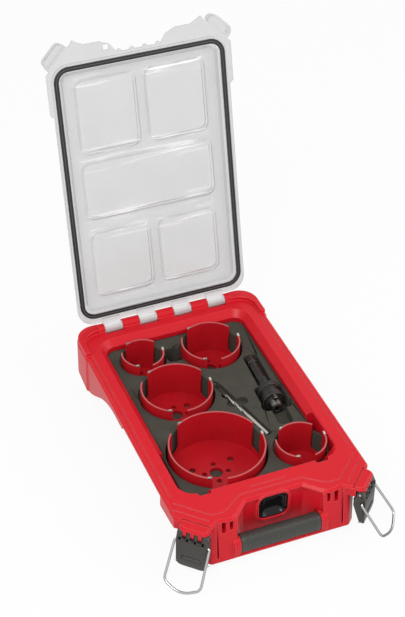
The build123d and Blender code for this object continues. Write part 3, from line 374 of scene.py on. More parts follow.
@dataclass(frozen=True)
class Enamel:
    """Gloss enamel on a saw cup, with painted shade deeper in the cup and a pale pink band along the rim that
    is rubbed paint and painted highlight.
    """

    name: str
    colour: tuple[float, float, float]
    steel: tuple[float, float, float]
    rim_z: float
    worn: float
    # The next two fields set the painted shade: how far below the rim it reaches, and its share at the
    # bottom.
    painted_shade_reach: float = 0.048
    painted_shade_share: float = 0.25
    specular: float = 0.22
    # Share of the pale pink rim band, which is rubbed paint and painted highlight.
    bare_and_highlight_share: float = 0.5

    def make(self) -> bpy.types.Material:
        """Build the material.

        Returns:
            The finished material.
        """
        board = Board(self.name)
        shader = board.add("BsdfPrincipled", Specular_IOR_Level=self.specular)
        where = board.place()
        cloud = board.noise(where, 40.0, 3.0)
        paint = board.blend(cloud, tint(self.colour, -0.16), tint(self.colour, 0.12))
        # Painted shade: the paint darkens towards the bottom of the cup.
        height = board.distance(Vector((0, 0, 1)), Vector())
        depth = board.span(height, self.rim_z - self.painted_shade_reach, self.rim_z, self.painted_shade_share, 0.0)
        shaded = board.over(depth, paint, tint(self.colour, -0.6))
        # Pale pink band at the rim with a ragged lower edge: rubbed paint and painted highlight.
        chips = board.math("MULTIPLY", board.noise(where, 420.0, 4.0), self.worn * 1.6)
        ragged = board.math("ADD", chips, height)
        start, end = (self.rim_z + self.worn * share for share in (-0.05, 0.35))
        bare_and_highlight = board.span(ragged, start, end, 0.0, self.bare_and_highlight_share)
        board.link(board.over(bare_and_highlight, shaded, self.steel), shader.inputs["Base Color"])
        rough = board.span(cloud, 0.3, 0.7, 0.26, 0.36)
        board.link(rough, shader.inputs["Roughness"])
        peel = board.noise(where, 260.0)
        board.link(board.relief(peel, 0.00006), shader.inputs["Normal"])
        return board.done(shader)


@dataclass(frozen=True)
class Foam:
    """Closed-cell foam: matt, with small open cells on its cut faces."""

    name: str
    colour: tuple[float, float, float]
    cells: float = 700.0
    pit: float = 0.0002
    softness: float = 0.6

    def make(self) -> bpy.types.Material:
        """Build the material.

        Returns:
            The finished material.
        """
        board = Board(self.name)
        shader = board.add("BsdfPrincipled", Roughness=0.95, Specular_IOR_Level=0.2)
        where = board.place()
        cloud = board.noise(where, 60.0, 3.0)
        cells = board.add("TexVoronoi", Scale=self.cells)
        board.link(where, cells.inputs["Vector"])
        colour = board.blend(cloud, tint(self.colour, -0.18), tint(self.colour, 0.18))
        dim = board.add("Mix", data_type="RGBA", blend_type="MULTIPLY")
        dim.inputs[0].default_value = 1.0
        board.link(colour, dim.inputs[COLOUR_A])
        board.link(board.span(cells.outputs["Distance"], 0.0, 0.5, 0.75, 1.0), dim.inputs[COLOUR_B])
        board.link(dim.outputs[COLOUR_RESULT], shader.inputs["Base Color"])
        board.link(board.relief(cells.outputs["Distance"], self.pit, self.softness), shader.inputs["Normal"])
        return board.done(shader)


@dataclass(frozen=True)
class LidFrame:
    """Place of the open lid: its hinge and its leaning plane."""

    lean: float = math.radians(13.4)
    hinge: Vector = Vector((0.0, 180.0 * MM, 68.3 * MM))

    @property
    def along(self) -> Vector:
        """Direction away from the hinge in the lid's plane."""
        return Vector((0.0, math.sin(self.lean), math.cos(self.lean)))

    @property
    def out(self) -> Vector:
        """Direction out of the lid's top face."""
        return Vector((0.0, math.cos(self.lean), -math.sin(self.lean)))


@dataclass(frozen=True)
class ClearPlastic:
    """Clear moulded plastic with a pale grey body, and painted highlight streaks along the edges of its pads.
    """

    name: str
    colour: tuple[float, float, float]
    cover: float
    roughness: float = 0.12
    frame: LidFrame = LidFrame()
    pads: tuple[tuple[float, float, float, float], ...] = (
        (-44.0, 276.5, 36.0, 44.5), (44.0, 276.5, 36.0, 44.5), (0.0, 181.5, 82.0, 34.5),
        (-44.0, 83.5, 36.0, 40.5), (44.0, 83.5, 36.0, 40.5),
    )
    band: tuple[float, float] = (4.0, 13.0)
    knuckle: tuple[float, float] = (8.0, 12.0)
    waves: float = 26.0
    wave_depth: float = 0.0006
    edge: float = 0.0012
    # Share of cover that the painted highlight streaks add.
    highlight_cover: float = 0.85
    knuckle_cover: float = 0.50
    knuckle_white: float = 0.7
    edge_cover: float = 0.45

    def threads(
        self, board: Board, across: bpy.types.NodeSocket, along: bpy.types.NodeSocket,
        stretch: tuple[float, float],
    ) -> bpy.types.NodeSocket:
        """Vector that stretches a pattern in the lid's plane.

        Args:
            board: board of the material.
            across: place across the lid.
            along: place along the lid from its hinge.
            stretch: lumps per metre in each direction.

        Returns:
            The vector socket.
        """
        vector = board.add("CombineXYZ")
        board.link(board.math("MULTIPLY", across, stretch[0]), vector.inputs[0])
        board.link(board.math("MULTIPLY", along, stretch[1]), vector.inputs[1])
        return vector.outputs[0]

    def streaks(
        self, board: Board, across: bpy.types.NodeSocket, along: bpy.types.NodeSocket
    ) -> bpy.types.NodeSocket:
        """Mask of the painted highlight streaks at the ends and sides of the pads.

        Args:
            board: board of the material.
            across: place across the lid.
            along: place along the lid from its hinge.

        Returns:
            The mask socket.
        """
        streak_run = self.threads(board, across, along, (14.0, 210.0))
        level = board.span(board.noise(streak_run, 1.0, 2.5), 0.50, 0.64, 0.0, 1.0)
        rise = self.threads(board, across, along, (300.0, 9.0))
        upright = board.span(board.noise(rise, 1.0), 0.48, 0.66, 0.0, 0.5)
        mask = None
        for middle, height, half, reach in self.pads:
            side = board.math("ABSOLUTE", board.math("SUBTRACT", across, middle * MM))
            end = board.math("ABSOLUTE", board.math("SUBTRACT", along, height * MM))
            side = board.math("SUBTRACT", side, half * MM)
            end = board.math("SUBTRACT", end, reach * MM)
            narrow, wide = (width * MM for width in self.band)
            ends = board.span(board.math("ABSOLUTE", end), 0.0, wide, 1.0, 0.0)
            ends = board.math("MULTIPLY", ends, board.span(side, 0.0, narrow, 1.0, 0.0))
            sides = board.span(board.math("ABSOLUTE", side), 0.0, narrow, 1.0, 0.0)
            sides = board.math("MULTIPLY", sides, board.span(end, -wide, 0.0, 1.0, 0.0))
            ends = board.math("MULTIPLY", ends, level)
            here = board.math("MAXIMUM", ends, board.math("MULTIPLY", sides, upright))
            mask = here if mask is None else board.math("MAXIMUM", mask, here)
        return mask

    def make(self) -> bpy.types.Material:
        """Build the material.

        Returns:
            The finished material.
        """
        board = Board(self.name)
        shader = board.add("BsdfPrincipled", Roughness=self.roughness, Coat_Weight=0.3, Coat_Roughness=0.04)
        where = board.place()
        across = board.distance(Vector((1, 0, 0)), self.frame.hinge)
        along = board.distance(self.frame.along, self.frame.hinge)
        # Painted highlight: pale streaks along the pads' edges.
        streak = self.streaks(board, across, along)
        knuckle = board.span(along, self.knuckle[0] * MM, self.knuckle[1] * MM, 1.0, 0.0)
        cloud = board.noise(where, self.waves, 3.0)
        colour = board.blend(cloud, tint(self.colour, -0.12), tint(self.colour, 0.12))
        # The painted highlight streaks and the white of the thick knuckles are laid over the colour.
        paler = board.math("MAXIMUM", streak, board.math("MULTIPLY", knuckle, self.knuckle_white))
        board.link(board.over(paler, colour, WHITE), shader.inputs["Base Color"])
        wave = board.noise(where, self.waves)
        normal, _ = board.rounded(self.edge)
        board.link(board.relief(wave, self.wave_depth, 0.5, under=normal), shader.inputs["Normal"])
        edge = board.add("LayerWeight", Blend=0.35)
        body = board.span(edge.outputs["Facing"], 0.0, 1.0, self.cover, self.cover + self.edge_cover)
        # The painted highlight streaks also make the lid less clear there.
        highlight_alpha = board.math("MULTIPLY", streak, self.highlight_cover)
        cloudy = board.math("MAXIMUM", highlight_alpha, board.math("MULTIPLY", knuckle, self.knuckle_cover))
        board.link(board.math("MAXIMUM", body, cloudy), shader.inputs["Alpha"])
        return board.done(shader)


@dataclass(frozen=True)
class SealRubber:
    """Dark seal with a painted highlight: a paler band between its two beads."""

    name: str
    colour: tuple[float, float, float]
    # Colour of the painted highlight between the beads.
    groove_highlight: tuple[float, float, float]
    frame: LidFrame = LidFrame()
    groove_from: float = 0.0007
    groove_to: float = 0.0014
    edge: float = 0.0009

    def make(self) -> bpy.types.Material:
        """Build the material.

        Returns:
            The finished material.
        """
        board = Board(self.name)
        shader = board.add("BsdfPrincipled")
        where = board.place()
        cloud = board.noise(where, 50.0, 3.0)
        colour = board.blend(cloud, tint(self.colour, -0.15), tint(self.colour, 0.15))
        depth = board.distance(self.frame.out, self.frame.hinge)
        # Painted highlight: a paler band between the two beads, set by depth along the lid's out direction.
        inside = board.math("MULTIPLY", board.math("GREATER_THAN", depth, self.groove_from),
                            board.math("LESS_THAN", depth, self.groove_to))
        board.link(board.over(inside, colour, self.groove_highlight), shader.inputs["Base Color"])
        board.link(board.span(cloud, 0.3, 0.7, 0.42, 0.55), shader.inputs["Roughness"])
        normal, _ = board.rounded(self.edge)
        board.link(normal, shader.inputs["Normal"])
        return board.done(shader)


class Finishes:
    """Every finish of the case, made once."""

    def __init__(self) -> None:
        """Build the materials."""
        # The red moulding gets a pale pink painted highlight along its edges.
        self.red = Moulding("red_moulding", (0.62, 0.006, 0.016), roughness=0.34, drift=0.05, specular=0.26,
                            edge=0.0012, edge_highlight_colour=(0.95, 0.20, 0.22), edge_highlight_share=0.6).make()
        self.black = Moulding("dark_moulding", (0.042, 0.040, 0.035), roughness=0.42, grain=0.0007,
                              specular=0.4).make()
        self.gloss = Moulding("gloss_button", (0.008, 0.008, 0.009), roughness=0.14, relief=0.00001,
                              coat=0.1, specular=0.2).make()
        self.rubber = Moulding("grip_rubber", (0.042, 0.042, 0.036), roughness=0.44, relief=0.00008,
                               specular=0.45).make()
        self.seal = SealRubber("seal_rubber", (0.010, 0.011, 0.012), (0.10, 0.102, 0.104)).make()
        self.clear = ClearPlastic("clear_lid", (0.52, 0.52, 0.525), cover=0.32).make()
        self.foam = Foam("cut_foam", (0.064, 0.060, 0.049)).make()
        # The cup's rim band is a pale pink: rubbed paint and painted highlight.
        self.cup = Enamel("red_enamel", (0.54, 0.010, 0.018), steel=(0.50, 0.20, 0.20), rim_z=66.3 * MM,
                          worn=1.1 * MM).make()
        self.carbide = Metal("carbide", (0.55, 0.54, 0.52), 0.35, lines=600.0).make()
        # The wire gets a strong painted dark reflection at its silhouette.
        self.chrome = Metal("bright_wire", (0.50, 0.50, 0.51), 0.12, stretch=(1.0, 1.0, 0.2), lines=300.0,
                            dark_reflection_share=0.9).make()
        self.pin = Metal("pin_steel", (0.50, 0.50, 0.50), 0.30).make()
        self.black_steel = Metal("black_oxide", (0.014, 0.013, 0.012), 0.42, metallic=0.25,
                                 worn=(0.62, 0.58, 0.50), worn_share=0.6).make()
        self.thread = Metal("thread_steel", (0.11, 0.104, 0.095), 0.34, worn=(0.70, 0.66, 0.58),
                            worn_share=0.6).make()
        self.bit = Metal("ground_steel", (0.50, 0.48, 0.43), 0.30, stretch=(0.2, 1.0, 1.0)).make()


# ---------------------------------------------------------------- mesh helpers
def to_object(mesh: bmesh.types.BMesh, name: str, finish: bpy.types.Material) -> bpy.types.Object:
    """Make an object of a bmesh, smooth but for its sharp edges.

    Args:
        mesh: the bmesh, which is freed.
        name: name of the piece.
        finish: its material.

    Returns:
        The linked object.
    """
    for edge in mesh.edges:
        edge.smooth = not (edge.is_manifold and edge.calc_face_angle(0.0) > SMOOTH_ANGLE)
    for face in mesh.faces:
        face.smooth = True
        face.material_index = 0
    data = bpy.data.meshes.new(name)
    mesh.to_mesh(data)
    mesh.free()
    made = bpy.data.objects.new(name, data)
    bpy.context.scene.collection.objects.link(made)
    data.materials.append(finish)
    return made


def merged(node: str) -> bmesh.types.BMesh:
    """Copy of a CAD node's mesh with its doubles merged.

    Args:
        node: name of the CAD node.

    Returns:
        The new bmesh.
    """
    mesh = bmesh.new()
    mesh.from_mesh(frame["nodes"][node].data)
    bmesh.ops.remove_doubles(mesh, verts=mesh.verts, dist=WELD)
    return mesh


def circle(mesh: bmesh.types.BMesh, segments: int, squareness: float = 2.0) -> list[Vector]:
    """Add a ring of edges about the origin and hand out its section.

    Args:
        mesh: the bmesh.
        segments: points of the ring.
        squareness: 2 for a circle, more for a rounded square.

    Returns:
        Flat places of the ring's points, with a radius of 1.
    """
    bmesh.ops.create_circle(mesh, segments=segments, radius=1.0, cap_ends=False)
    power = 2 / squareness
    return [Vector([math.copysign(abs(c) ** power, c) for c in vert.co.xy]) for vert in mesh.verts]


def grow(
    mesh: bmesh.types.BMesh, loop: list[bmesh.types.BMEdge]
) -> tuple[list[bmesh.types.BMVert], list[bmesh.types.BMEdge]]:
    """Extrude a ring of edges by one more ring.

    Args:
        mesh: the bmesh.
        loop: edges of the last ring.

    Returns:
        Points and edges of the new ring.
    """
    grown = bmesh.ops.extrude_edge_only(mesh, edges=loop)["geom"]
    verts = [item for item in grown if isinstance(item, bmesh.types.BMVert)]
    return verts, [item for item in grown if isinstance(item, bmesh.types.BMEdge)]


def close(mesh: bmesh.types.BMesh, *loops: list[bmesh.types.BMEdge]) -> None:
    """Cap open rings and turn all faces outward.

    Args:
        mesh: the bmesh.
        loops: edges of each open ring.
    """
    for loop in loops:
        bmesh.ops.contextual_create(mesh, geom=loop)
    bmesh.ops.recalc_face_normals(mesh, faces=mesh.faces)


def soften(piece: bpy.types.Object, width: float) -> None:
    """Round the sharp edges of a piece.

    Args:
        piece: the object.
        width: width of the rounding in metres.
    """
    bevel = piece.modifiers.new("rounding", "BEVEL")
    bevel.width = width
    bevel.segments = ROUNDING_STEPS
    bevel.limit_method = "ANGLE"
    bevel.angle_limit = ROUNDING_ANGLE
    bevel.use_clamp_overlap = False
    bevel.harden_normals = False


def settle(piece: bpy.types.Object, body: str, slot: str, *nodes: str) -> bpy.types.Object:
    """Let a piece ride on its body and stand for its nodes.

    Args:
        piece: the object.
        body: CAD body that carries it.
        slot: material slot of the record; not used.
        nodes: CAD nodes that it stands for.

    Returns:
        The same object.
    """
    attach(piece, body)
    if nodes:
        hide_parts(*nodes)
    log.info("piece %s rides on %s, %d faces", piece.name, body, len(piece.data.polygons))
    return piece


def refined(node: str, name: str, finish: bpy.types.Material, rounding: float = 0.0) -> bpy.types.Object:
    """Smooth copy of a CAD node with rounded edges.

    Args:
        node: the CAD node.
        name: name of the new piece.
        finish: its material.
        rounding: width of the rounding of its edges, or 0.

    Returns:
        The new object.
    """
    piece = to_object(merged(node), name, finish)
    if rounding:
        soften(piece, rounding)
    return piece


# ---------------------------------------------------------------- sub-assemblies
@dataclass
class CarryingGrip:
    """Rubber grip over the handle beam: a rounded roll with soft ends and fine ribs. Sizes in millimetres."""

    finishes: Finishes
    half_length: float = 49.9
    middle: tuple[float, float] = (-180.75, 22.35)
    half: tuple[float, float] = (8.7, 11.8)
    squareness: float = 2.7
    segments: int = 56
    rib_pitch: float = 2.2
    rib_depth: float = 0.35
    rib: tuple[tuple[float, bool], ...] = ((0.0, False), (0.62, False), (0.72, True), (0.90, True))
    ribbed: float = 44.0
    end_curve: tuple[tuple[float, float], ...] = ((0.0, 0.80), (0.5, 0.90), (1.4, 0.965), (3.0, 1.0))

    def stations(self) -> list[tuple[float, float]]:
        """Places along the grip and the share of its full section there.

        Returns:
            Pairs of a place in millimetres and a share.
        """
        start = [(-self.half_length + step, share) for step, share in self.end_curve]
        finish = [(-place, share) for place, share in reversed(start)]
        low = 1.0 - self.rib_depth / self.half[0]
        ribs = []
        for index in range(round(2 * self.ribbed / self.rib_pitch)):
            place = -self.ribbed + index * self.rib_pitch
            ribs += [(place + step * self.rib_pitch, low if sunk else 1.0) for step, sunk in self.rib]
        return start + ribs + [(self.ribbed, 1.0)] + finish

    def roll(self) -> bmesh.types.BMesh:
        """Extrude the section along the grip.

        Returns:
            The new bmesh.
        """
        mesh = bmesh.new()
        unit = circle(mesh, self.segments, self.squareness)
        ring, loop = list(mesh.verts), list(mesh.edges)
        first = loop
        for number, (place, share) in enumerate(self.stations()):
            if number:
                ring, loop = grow(mesh, loop)
            for (across, up), vert in zip(unit, ring):
                vert.co = (place * MM, (self.middle[0] + across * self.half[0] * share) * MM,
                           (self.middle[1] + up * self.half[1] * share) * MM)
        close(mesh, first, loop)
        return mesh

    def build(self) -> None:
        """Make the grip."""
        grip = to_object(self.roll(), "carrying_grip", self.finishes.rubber)
        settle(grip, "case", "black_plastic", "handle_grip")


@dataclass
class CaseShell:
    """Red shell of the case with its hinge rod."""

    finishes: Finishes

    def build(self) -> None:
        """Make the shell and its fixed parts."""
        shell = refined("case_body", "case_shell", self.finishes.red)
        settle(shell, "case", "red_plastic", "case_body")
        pin = refined("hinge_pin", "hinge_rod", self.finishes.pin)
        settle(pin, "case", "steel", "hinge_pin")


@dataclass
class ReleaseButton:
    """Glossy button with a scoop, and the tongue that it moves. Sizes in millimetres."""

    finishes: Finishes
    half_width: float = 17.9
    half_height: float = 16.95
    middle_z: float = 47.05
    front_y: float = -161.9
    squareness: float = 4.4
    segments: int = 72
    rings: tuple[tuple[float, float, float], ...] = (   # share of the full size, depth and drop
        (1.0, 11.9, 0.0), (1.0, 1.2, 0.0), (0.985, 0.4, 0.0), (0.95, 0.0, 0.0), (0.91, 0.1, 0.0),
        (0.875, 0.7, 0.0), (0.83, 2.2, -0.2), (0.74, 4.2, -0.5), (0.60, 6.0, -0.9), (0.44, 7.0, -1.2),
        (0.26, 7.5, -1.4), (0.10, 7.6, -1.5),
    )

    def scoop(self) -> bmesh.types.BMesh:
        """Skin of the button: rings that follow one another from the back edge into the scoop.

        Returns:
            The new bmesh.
        """
        mesh = bmesh.new()
        unit = circle(mesh, self.segments, self.squareness)
        ring, loop = list(mesh.verts), list(mesh.edges)
        for number, (share, depth, drop) in enumerate(self.rings):
            if number:
                ring, loop = grow(mesh, loop)
            for (across, up), vert in zip(unit, ring):
                vert.co = (across * self.half_width * share * MM, (self.front_y + depth) * MM,
                           (self.middle_z + up * self.half_height * share + drop) * MM)
        close(mesh, loop)
        return mesh

    def build(self) -> None:
        """Make the button and its tongue."""
        button = to_object(self.scoop(), "scoop_button", self.finishes.gloss)
        settle(button, "button", "black_plastic", "release_button")
        tongue = refined("lock_tongue", "button_tongue", self.finishes.black, 0.3 * MM)
        settle(tongue, "button", "black_plastic", "lock_tongue")


@dataclass
class CornerLatch:
    """Lever, pin and wire bail of one front corner."""

    finishes: Finishes
    side: Side

    def build(self) -> None:
        """Make the latch."""
        label = self.side.label
        lever = refined(f"latch_lever_{label}", f"lever_{label}", self.finishes.black, 0.9 * MM)
        settle(lever, f"lever_{label}", "black_plastic", f"latch_lever_{label}")
        pin = refined(f"latch_pin_{label}", f"lever_pin_{label}", self.finishes.pin)
        settle(pin, "case", "steel", f"latch_pin_{label}")
        bail = refined(f"wire_bail_{label}", f"bail_{label}", self.finishes.chrome)
        settle(bail, f"bail_{label}", "chrome_wire", f"wire_bail_{label}")


@dataclass
class Lid:
    """Clear lid with its seal."""

    finishes: Finishes

    def build(self) -> None:
        """Make the lid."""
        shell = refined("lid_shell", "clear_lid", self.finishes.clear)
        settle(shell, "lid", "clear_plastic", "lid_shell")
        seal = refined("lid_gasket", "lid_seal", self.finishes.seal)
        settle(seal, "lid", "gasket_rubber", "lid_gasket")


@dataclass
class FoamBed:
    """Foam insert with its pockets, and the thin foam beside the outermost saw. Sizes in millimetres."""

    finishes: Finishes
    middle: tuple[float, float] = (65.8, -92.4)
    ring: tuple[float, float] = (31.2, 32.8)
    height: tuple[float, float] = (14.0, 54.4)
    edge_x: float = 91.7
    steps: int = 24

    def lining(self) -> bmesh.types.BMesh:
        """Bowed strip of foam that closes the pocket beyond the bed's edge.

        Returns:
            The new bmesh.
        """
        (inner, outer), (low, high) = self.ring, self.height
        reach = math.acos((self.edge_x - self.middle[0]) / outer)
        mesh = bmesh.new()
        corners = ((inner, low), (outer, low), (outer, high), (inner, high))
        face = mesh.faces.new([mesh.verts.new((radius * MM, 0.0, level * MM)) for radius, level in corners])
        bmesh.ops.rotate(mesh, verts=mesh.verts, cent=(0, 0, 0), matrix=Matrix.Rotation(-reach, 3, "Z"))
        bmesh.ops.spin(mesh, geom=[face], cent=(0, 0, 0), axis=(0, 0, 1), angle=2 * reach,
                       steps=self.steps, use_merge=False)
        bmesh.ops.translate(mesh, verts=mesh.verts, vec=(self.middle[0] * MM, self.middle[1] * MM, 0.0))
        bmesh.ops.recalc_face_normals(mesh, faces=mesh.faces)
        return mesh

    def build(self) -> None:
        """Make the foam."""
        strip = to_object(self.lining(), "foam_lining", self.finishes.foam)
        settle(strip, "case", "foam")
        bed = refined("foam_insert", "foam_bed", self.finishes.foam, 0.8 * MM)
        settle(bed, "case", "foam", "foam_insert")


@dataclass
class SawCups:
    """Hole saws: enamelled cups with brazed teeth."""

    finishes: Finishes
    sizes: tuple[str, ...] = ("large", "medium", "standard", "small", "compact")
    teeth: int = 3

    def build(self) -> None:
        """Make every cup and its teeth."""
        for size in self.sizes:
            cup = refined(f"saw_{size}", f"cup_{size}_shell", self.finishes.cup)
            settle(cup, f"cup_{size}", "red_steel", f"saw_{size}")
            for index in range(1, self.teeth + 1):
                tooth = refined(f"tooth_{size}_{index}", f"cutter_{size}_{index}", self.finishes.carbide)
                settle(tooth, f"cup_{size}", "carbide", f"tooth_{size}_{index}")


@dataclass
class PilotBit:
    """Pilot bit that lies in the foam: a round shank and a twisted, thinner cutting part.

    Places and the radius are in millimetres. Point and fluted are shares of the length, run_out is a share
    of the flutes, and blunt, neck and web are shares of the radius.
    """

    finishes: Finishes
    tip: tuple[float, float, float] = (19.8, 28.0, 50.6)
    shank: tuple[float, float, float] = (40.0, -56.0, 50.6)
    radius: float = 3.0
    web: float = 0.6
    point: float = 0.03
    blunt: float = 0.25
    neck: float = 0.60
    run_out: float = 0.25
    twist: float = math.radians(540)
    steps: int = 48
    fluted: float = 0.56
    segments: int = 32

    def profile(self, share: float) -> tuple[float, float, float]:
        """Size, waist and turn of the section at a share of the length from the tip.

        Args:
            share: 0 at the tip and 1 at the shank's end.

        Returns:
            Radius in millimetres, waist from 0 to 1 and turn in radians.
        """
        point = min(1.0, share / self.point)
        body = min(1.0, share / self.fluted)
        taper = self.blunt + (1.0 - self.blunt) * point
        radius = self.radius * taper * (self.neck + (1.0 - self.neck) * body)
        left = max(0.0, 1.0 - share / self.fluted)
        waist = 1.0 - (1.0 - self.web) * min(1.0, left / self.run_out)
        return radius, waist, self.twist * body

    def body(self) -> bmesh.types.BMesh:
        """Extrude and twist the section from the tip to the shank.

        Returns:
            The new bmesh.
        """
        mesh = bmesh.new()
        unit = circle(mesh, self.segments)
        start, end = Vector(self.tip) * MM, Vector(self.shank) * MM
        turn = (end - start).to_track_quat("Z", "Y").to_matrix()
        ring, loop = list(mesh.verts), list(mesh.edges)
        first = loop
        for step in range(self.steps + 1):
            if step:
                ring, loop = grow(mesh, loop)
            share = step / self.steps
            radius, waist, angle = self.profile(share)
            for place, vert in zip(unit, ring):
                pinch = waist + (1.0 - waist) * abs(place.x)
                flat = Matrix.Rotation(angle, 2) @ (place * pinch)
                vert.co = start.lerp(end, share) + turn @ flat.to_3d() * radius * MM
        close(mesh, first, loop)
        return mesh

    def build(self) -> None:
        """Make the bit."""
        bit = to_object(self.body(), "pilot_drill", self.finishes.bit)
        settle(bit, "pilot", "bright_steel", "pilot_bit")


@dataclass
class Arbor:
    """Arbor with its shank, collar and drive pins, and the thread on its nose. Sizes in millimetres."""

    finishes: Finishes
    tail: tuple[float, float, float] = (74.8, 78.7, 50.5)
    nose: tuple[float, float, float] = (69.6, -18.5, 50.5)
    thread_from: float = 1.6
    thread_to: float = 12.4
    pitch: float = 1.8
    crest: float = 7.88
    root: float = 7.0
    segments: int = 48

    @property
    def place(self) -> Matrix:
        """Place of the arbor: its z axis runs from the nose to the shank."""
        start, end = Vector(self.nose) * MM, Vector(self.tail) * MM
        return Matrix.Translation(start) @ (end - start).to_track_quat("Z", "Y").to_matrix().to_4x4()

    def core(self) -> bmesh.types.BMesh:
        """Body of the arbor, with its nose turned down to the root of the thread.

        Returns:
            The new bmesh.
        """
        mesh = merged("arbor_body")
        bmesh.ops.transform(mesh, matrix=self.place.inverted(), verts=mesh.verts)
        for vert in mesh.verts:
            size = vert.co.xy.length
            if vert.co.z < self.thread_to * MM and size > self.root * MM:
                vert.co.xy *= self.root * MM / size
        bmesh.ops.transform(mesh, matrix=self.place, verts=mesh.verts)
        return mesh

    def thread(self) -> bmesh.types.BMesh:
        """Turned ridges of the nose, spun from a saw-tooth line.

        Returns:
            The new bmesh.
        """
        mesh = bmesh.new()
        count = round((self.thread_to - self.thread_from) / self.pitch)
        line = [mesh.verts.new((self.root * MM, 0.0, self.thread_from * MM))]
        for turn in range(count):
            base = self.thread_from + turn * self.pitch
            line.append(mesh.verts.new((self.crest * MM, 0.0, (base + self.pitch / 2) * MM)))
            line.append(mesh.verts.new((self.root * MM, 0.0, (base + self.pitch) * MM)))
        edges = [mesh.edges.new(pair) for pair in zip(line, line[1:])]
        bmesh.ops.spin(mesh, geom=line + edges, cent=(0, 0, 0), axis=(0, 0, 1), angle=math.tau,
                       steps=self.segments, use_merge=True)
        bmesh.ops.remove_doubles(mesh, verts=mesh.verts, dist=WELD)
        bmesh.ops.recalc_face_normals(mesh, faces=mesh.faces)
        bmesh.ops.transform(mesh, matrix=self.place, verts=mesh.verts)
        return mesh

    def build(self) -> None:
        """Make the arbor."""
        core = to_object(self.core(), "arbor_core", self.finishes.black_steel)
        settle(core, "arbor", "black_steel", "arbor_body")
        ridges = to_object(self.thread(), "nose_thread", self.finishes.thread)
        settle(ridges, "arbor", "black_steel")
        for node in ("arbor_shank", "arbor_collar"):
            piece = refined(node, f"{node}_piece", self.finishes.black_steel)
            settle(piece, "arbor", "black_steel", node)
        for index in (1, 2):
            pin = refined(f"drive_pin_{index}", f"drive_peg_{index}", self.finishes.thread)
            settle(pin, "arbor", "steel", f"drive_pin_{index}")


# ---------------------------------------------------------------- studio
@dataclass(frozen=True)
class Lamp:
    """Square soft lamp that faces the case: place and side in metres, power in watts."""

    name: str
    place: Vector
    side: float
    power: float
    aim: Vector = Vector((0.0, 0.0, 60.0 * MM))

    def build(self) -> None:
        """Add the lamp."""
        data = bpy.data.lights.new(self.name, "AREA")
        data.shape = "SQUARE"
        data.size = self.side
        data.energy = self.power
        made = bpy.data.objects.new(self.name, data)
        bpy.context.scene.collection.objects.link(made)
        made.location = self.place
        made.rotation_mode = "QUATERNION"
        made.rotation_quaternion = (self.place - self.aim).to_track_quat("Z", "Y")


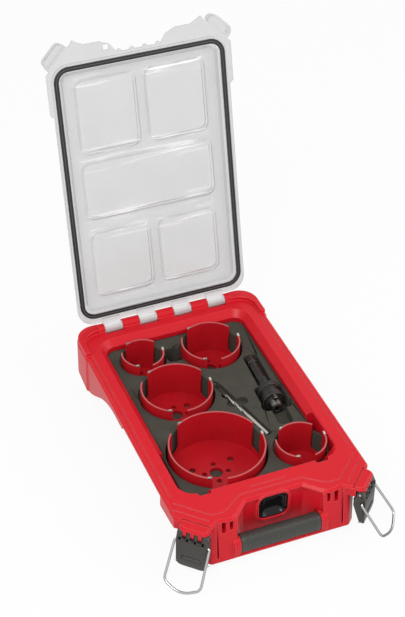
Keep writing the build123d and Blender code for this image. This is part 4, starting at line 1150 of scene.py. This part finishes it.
@dataclass
class Studio:
    """Camera, soft lights and a pale floor. Places in metres, angles in degrees, sensor in millimetres."""

    eye: tuple[float, float, float] = (-621.07 * MM, -1423.02 * MM, 1470.71 * MM)
    azimuth: float = -22.79
    elevation: float = 39.03
    roll: float = 0.94
    focal_pixels: float = 1748.56
    image_height: float = 617.0
    sensor: float = 36.0
    clip: tuple[float, float] = (0.05, 50.0)
    floor_half: float = 4.0
    floor_grey: float = 0.80
    floor_drop: float = 0.0002
    floor_white: float = 0.92
    surround: float = 0.62
    lamps: tuple[Lamp, ...] = (
        Lamp("key", Vector((-0.9, -1.1, 1.9)), 1.1, 26.0), Lamp("fill", Vector((1.5, -0.6, 1.3)), 1.2, 10.0),
    )

    def camera(self) -> None:
        """Create the camera at its measured place."""
        turn, lift, roll = (math.radians(angle) for angle in (self.azimuth, self.elevation, self.roll))
        back = Vector((math.sin(turn) * math.cos(lift), -math.cos(turn) * math.cos(lift), math.sin(lift)))
        level = Vector((math.cos(turn), math.sin(turn), 0.0))
        upright = back.cross(level)
        right = level * math.cos(roll) + upright * math.sin(roll)
        up = upright * math.cos(roll) - level * math.sin(roll)
        data = bpy.data.cameras.new("view")
        data.sensor_width = self.sensor
        data.lens = self.focal_pixels * self.sensor / self.image_height
        data.clip_start, data.clip_end = self.clip
        eye = bpy.data.objects.new("view", data)
        bpy.context.scene.collection.objects.link(eye)
        axes = Matrix((right, up, back)).transposed().to_4x4()
        eye.matrix_world = Matrix.Translation(Vector(self.eye)) @ axes
        bpy.context.scene.camera = eye

    def seen(self, tree: bpy.types.NodeTree) -> bpy.types.NodeSocket:
        """Socket that is 1 for rays of the camera, of reflections and through glass, else 0.

        Args:
            tree: node tree that gets the nodes.

        Returns:
            The result socket.
        """
        path = tree.nodes.new("ShaderNodeLightPath")
        result = path.outputs["Is Camera Ray"]
        for ray in ("Is Glossy Ray", "Is Transmission Ray"):
            either = tree.nodes.new("ShaderNodeMath")
            either.operation = "MAXIMUM"
            tree.links.new(result, either.inputs[0])
            tree.links.new(path.outputs[ray], either.inputs[1])
            result = either.outputs[0]
        return result

    def floor(self) -> None:
        """Lay a pale floor that is seen nearly white."""
        mesh = bmesh.new()
        bmesh.ops.create_grid(mesh, x_segments=1, y_segments=1, size=self.floor_half)
        board = Board("pale_floor")
        plain = board.add("BsdfDiffuse", Color=(*[self.floor_grey] * 3, 1.0))
        glow = board.add("Emission", Strength=1.0, Color=(*WHITE, 1.0))
        mix = board.add("MixShader")
        board.link(board.math("MULTIPLY", self.seen(board.tree), self.floor_white), mix.inputs[0])
        board.link(plain.outputs[0], mix.inputs[1])
        board.link(glow.outputs[0], mix.inputs[2])
        ground = to_object(mesh, "floor", board.done(mix))
        ground.data.transform(Matrix.Translation((0, 0, -self.floor_drop)))

    def world(self) -> None:
        """Set a plain light grey surround that is seen as white."""
        world = bpy.data.worlds.new("surround")
        world.use_nodes = True
        tree = world.node_tree
        tree.nodes.clear()
        strength = tree.nodes.new("ShaderNodeMapRange")
        tree.links.new(self.seen(tree), strength.inputs["Value"])
        strength.inputs["To Min"].default_value = self.surround
        strength.inputs["To Max"].default_value = 1.0
        glow = tree.nodes.new("ShaderNodeBackground")
        glow.inputs["Color"].default_value = (*WHITE, 1.0)
        tree.links.new(strength.outputs["Result"], glow.inputs["Strength"])
        output = tree.nodes.new("ShaderNodeOutputWorld")
        tree.links.new(glow.outputs[0], output.inputs[0])
        bpy.context.scene.world = world

    def build(self) -> None:
        """Set up the whole studio."""
        self.camera()
        self.floor()
        self.world()
        for lamp in self.lamps:
            lamp.build()
        bpy.context.scene.view_settings.view_transform = "Standard"


def main() -> None:
    """Build every sub-assembly."""
    logging.basicConfig(level=logging.INFO, format="%(message)s")
    finishes = Finishes()
    Studio().build()
    CaseShell(finishes).build()
    CarryingGrip(finishes).build()
    ReleaseButton(finishes).build()
    for side in Side:
        CornerLatch(finishes, side).build()
    Lid(finishes).build()
    FoamBed(finishes).build()
    SawCups(finishes).build()
    Arbor(finishes).build()
    PilotBit(finishes).build()


if __name__ == "__main__":
    main()
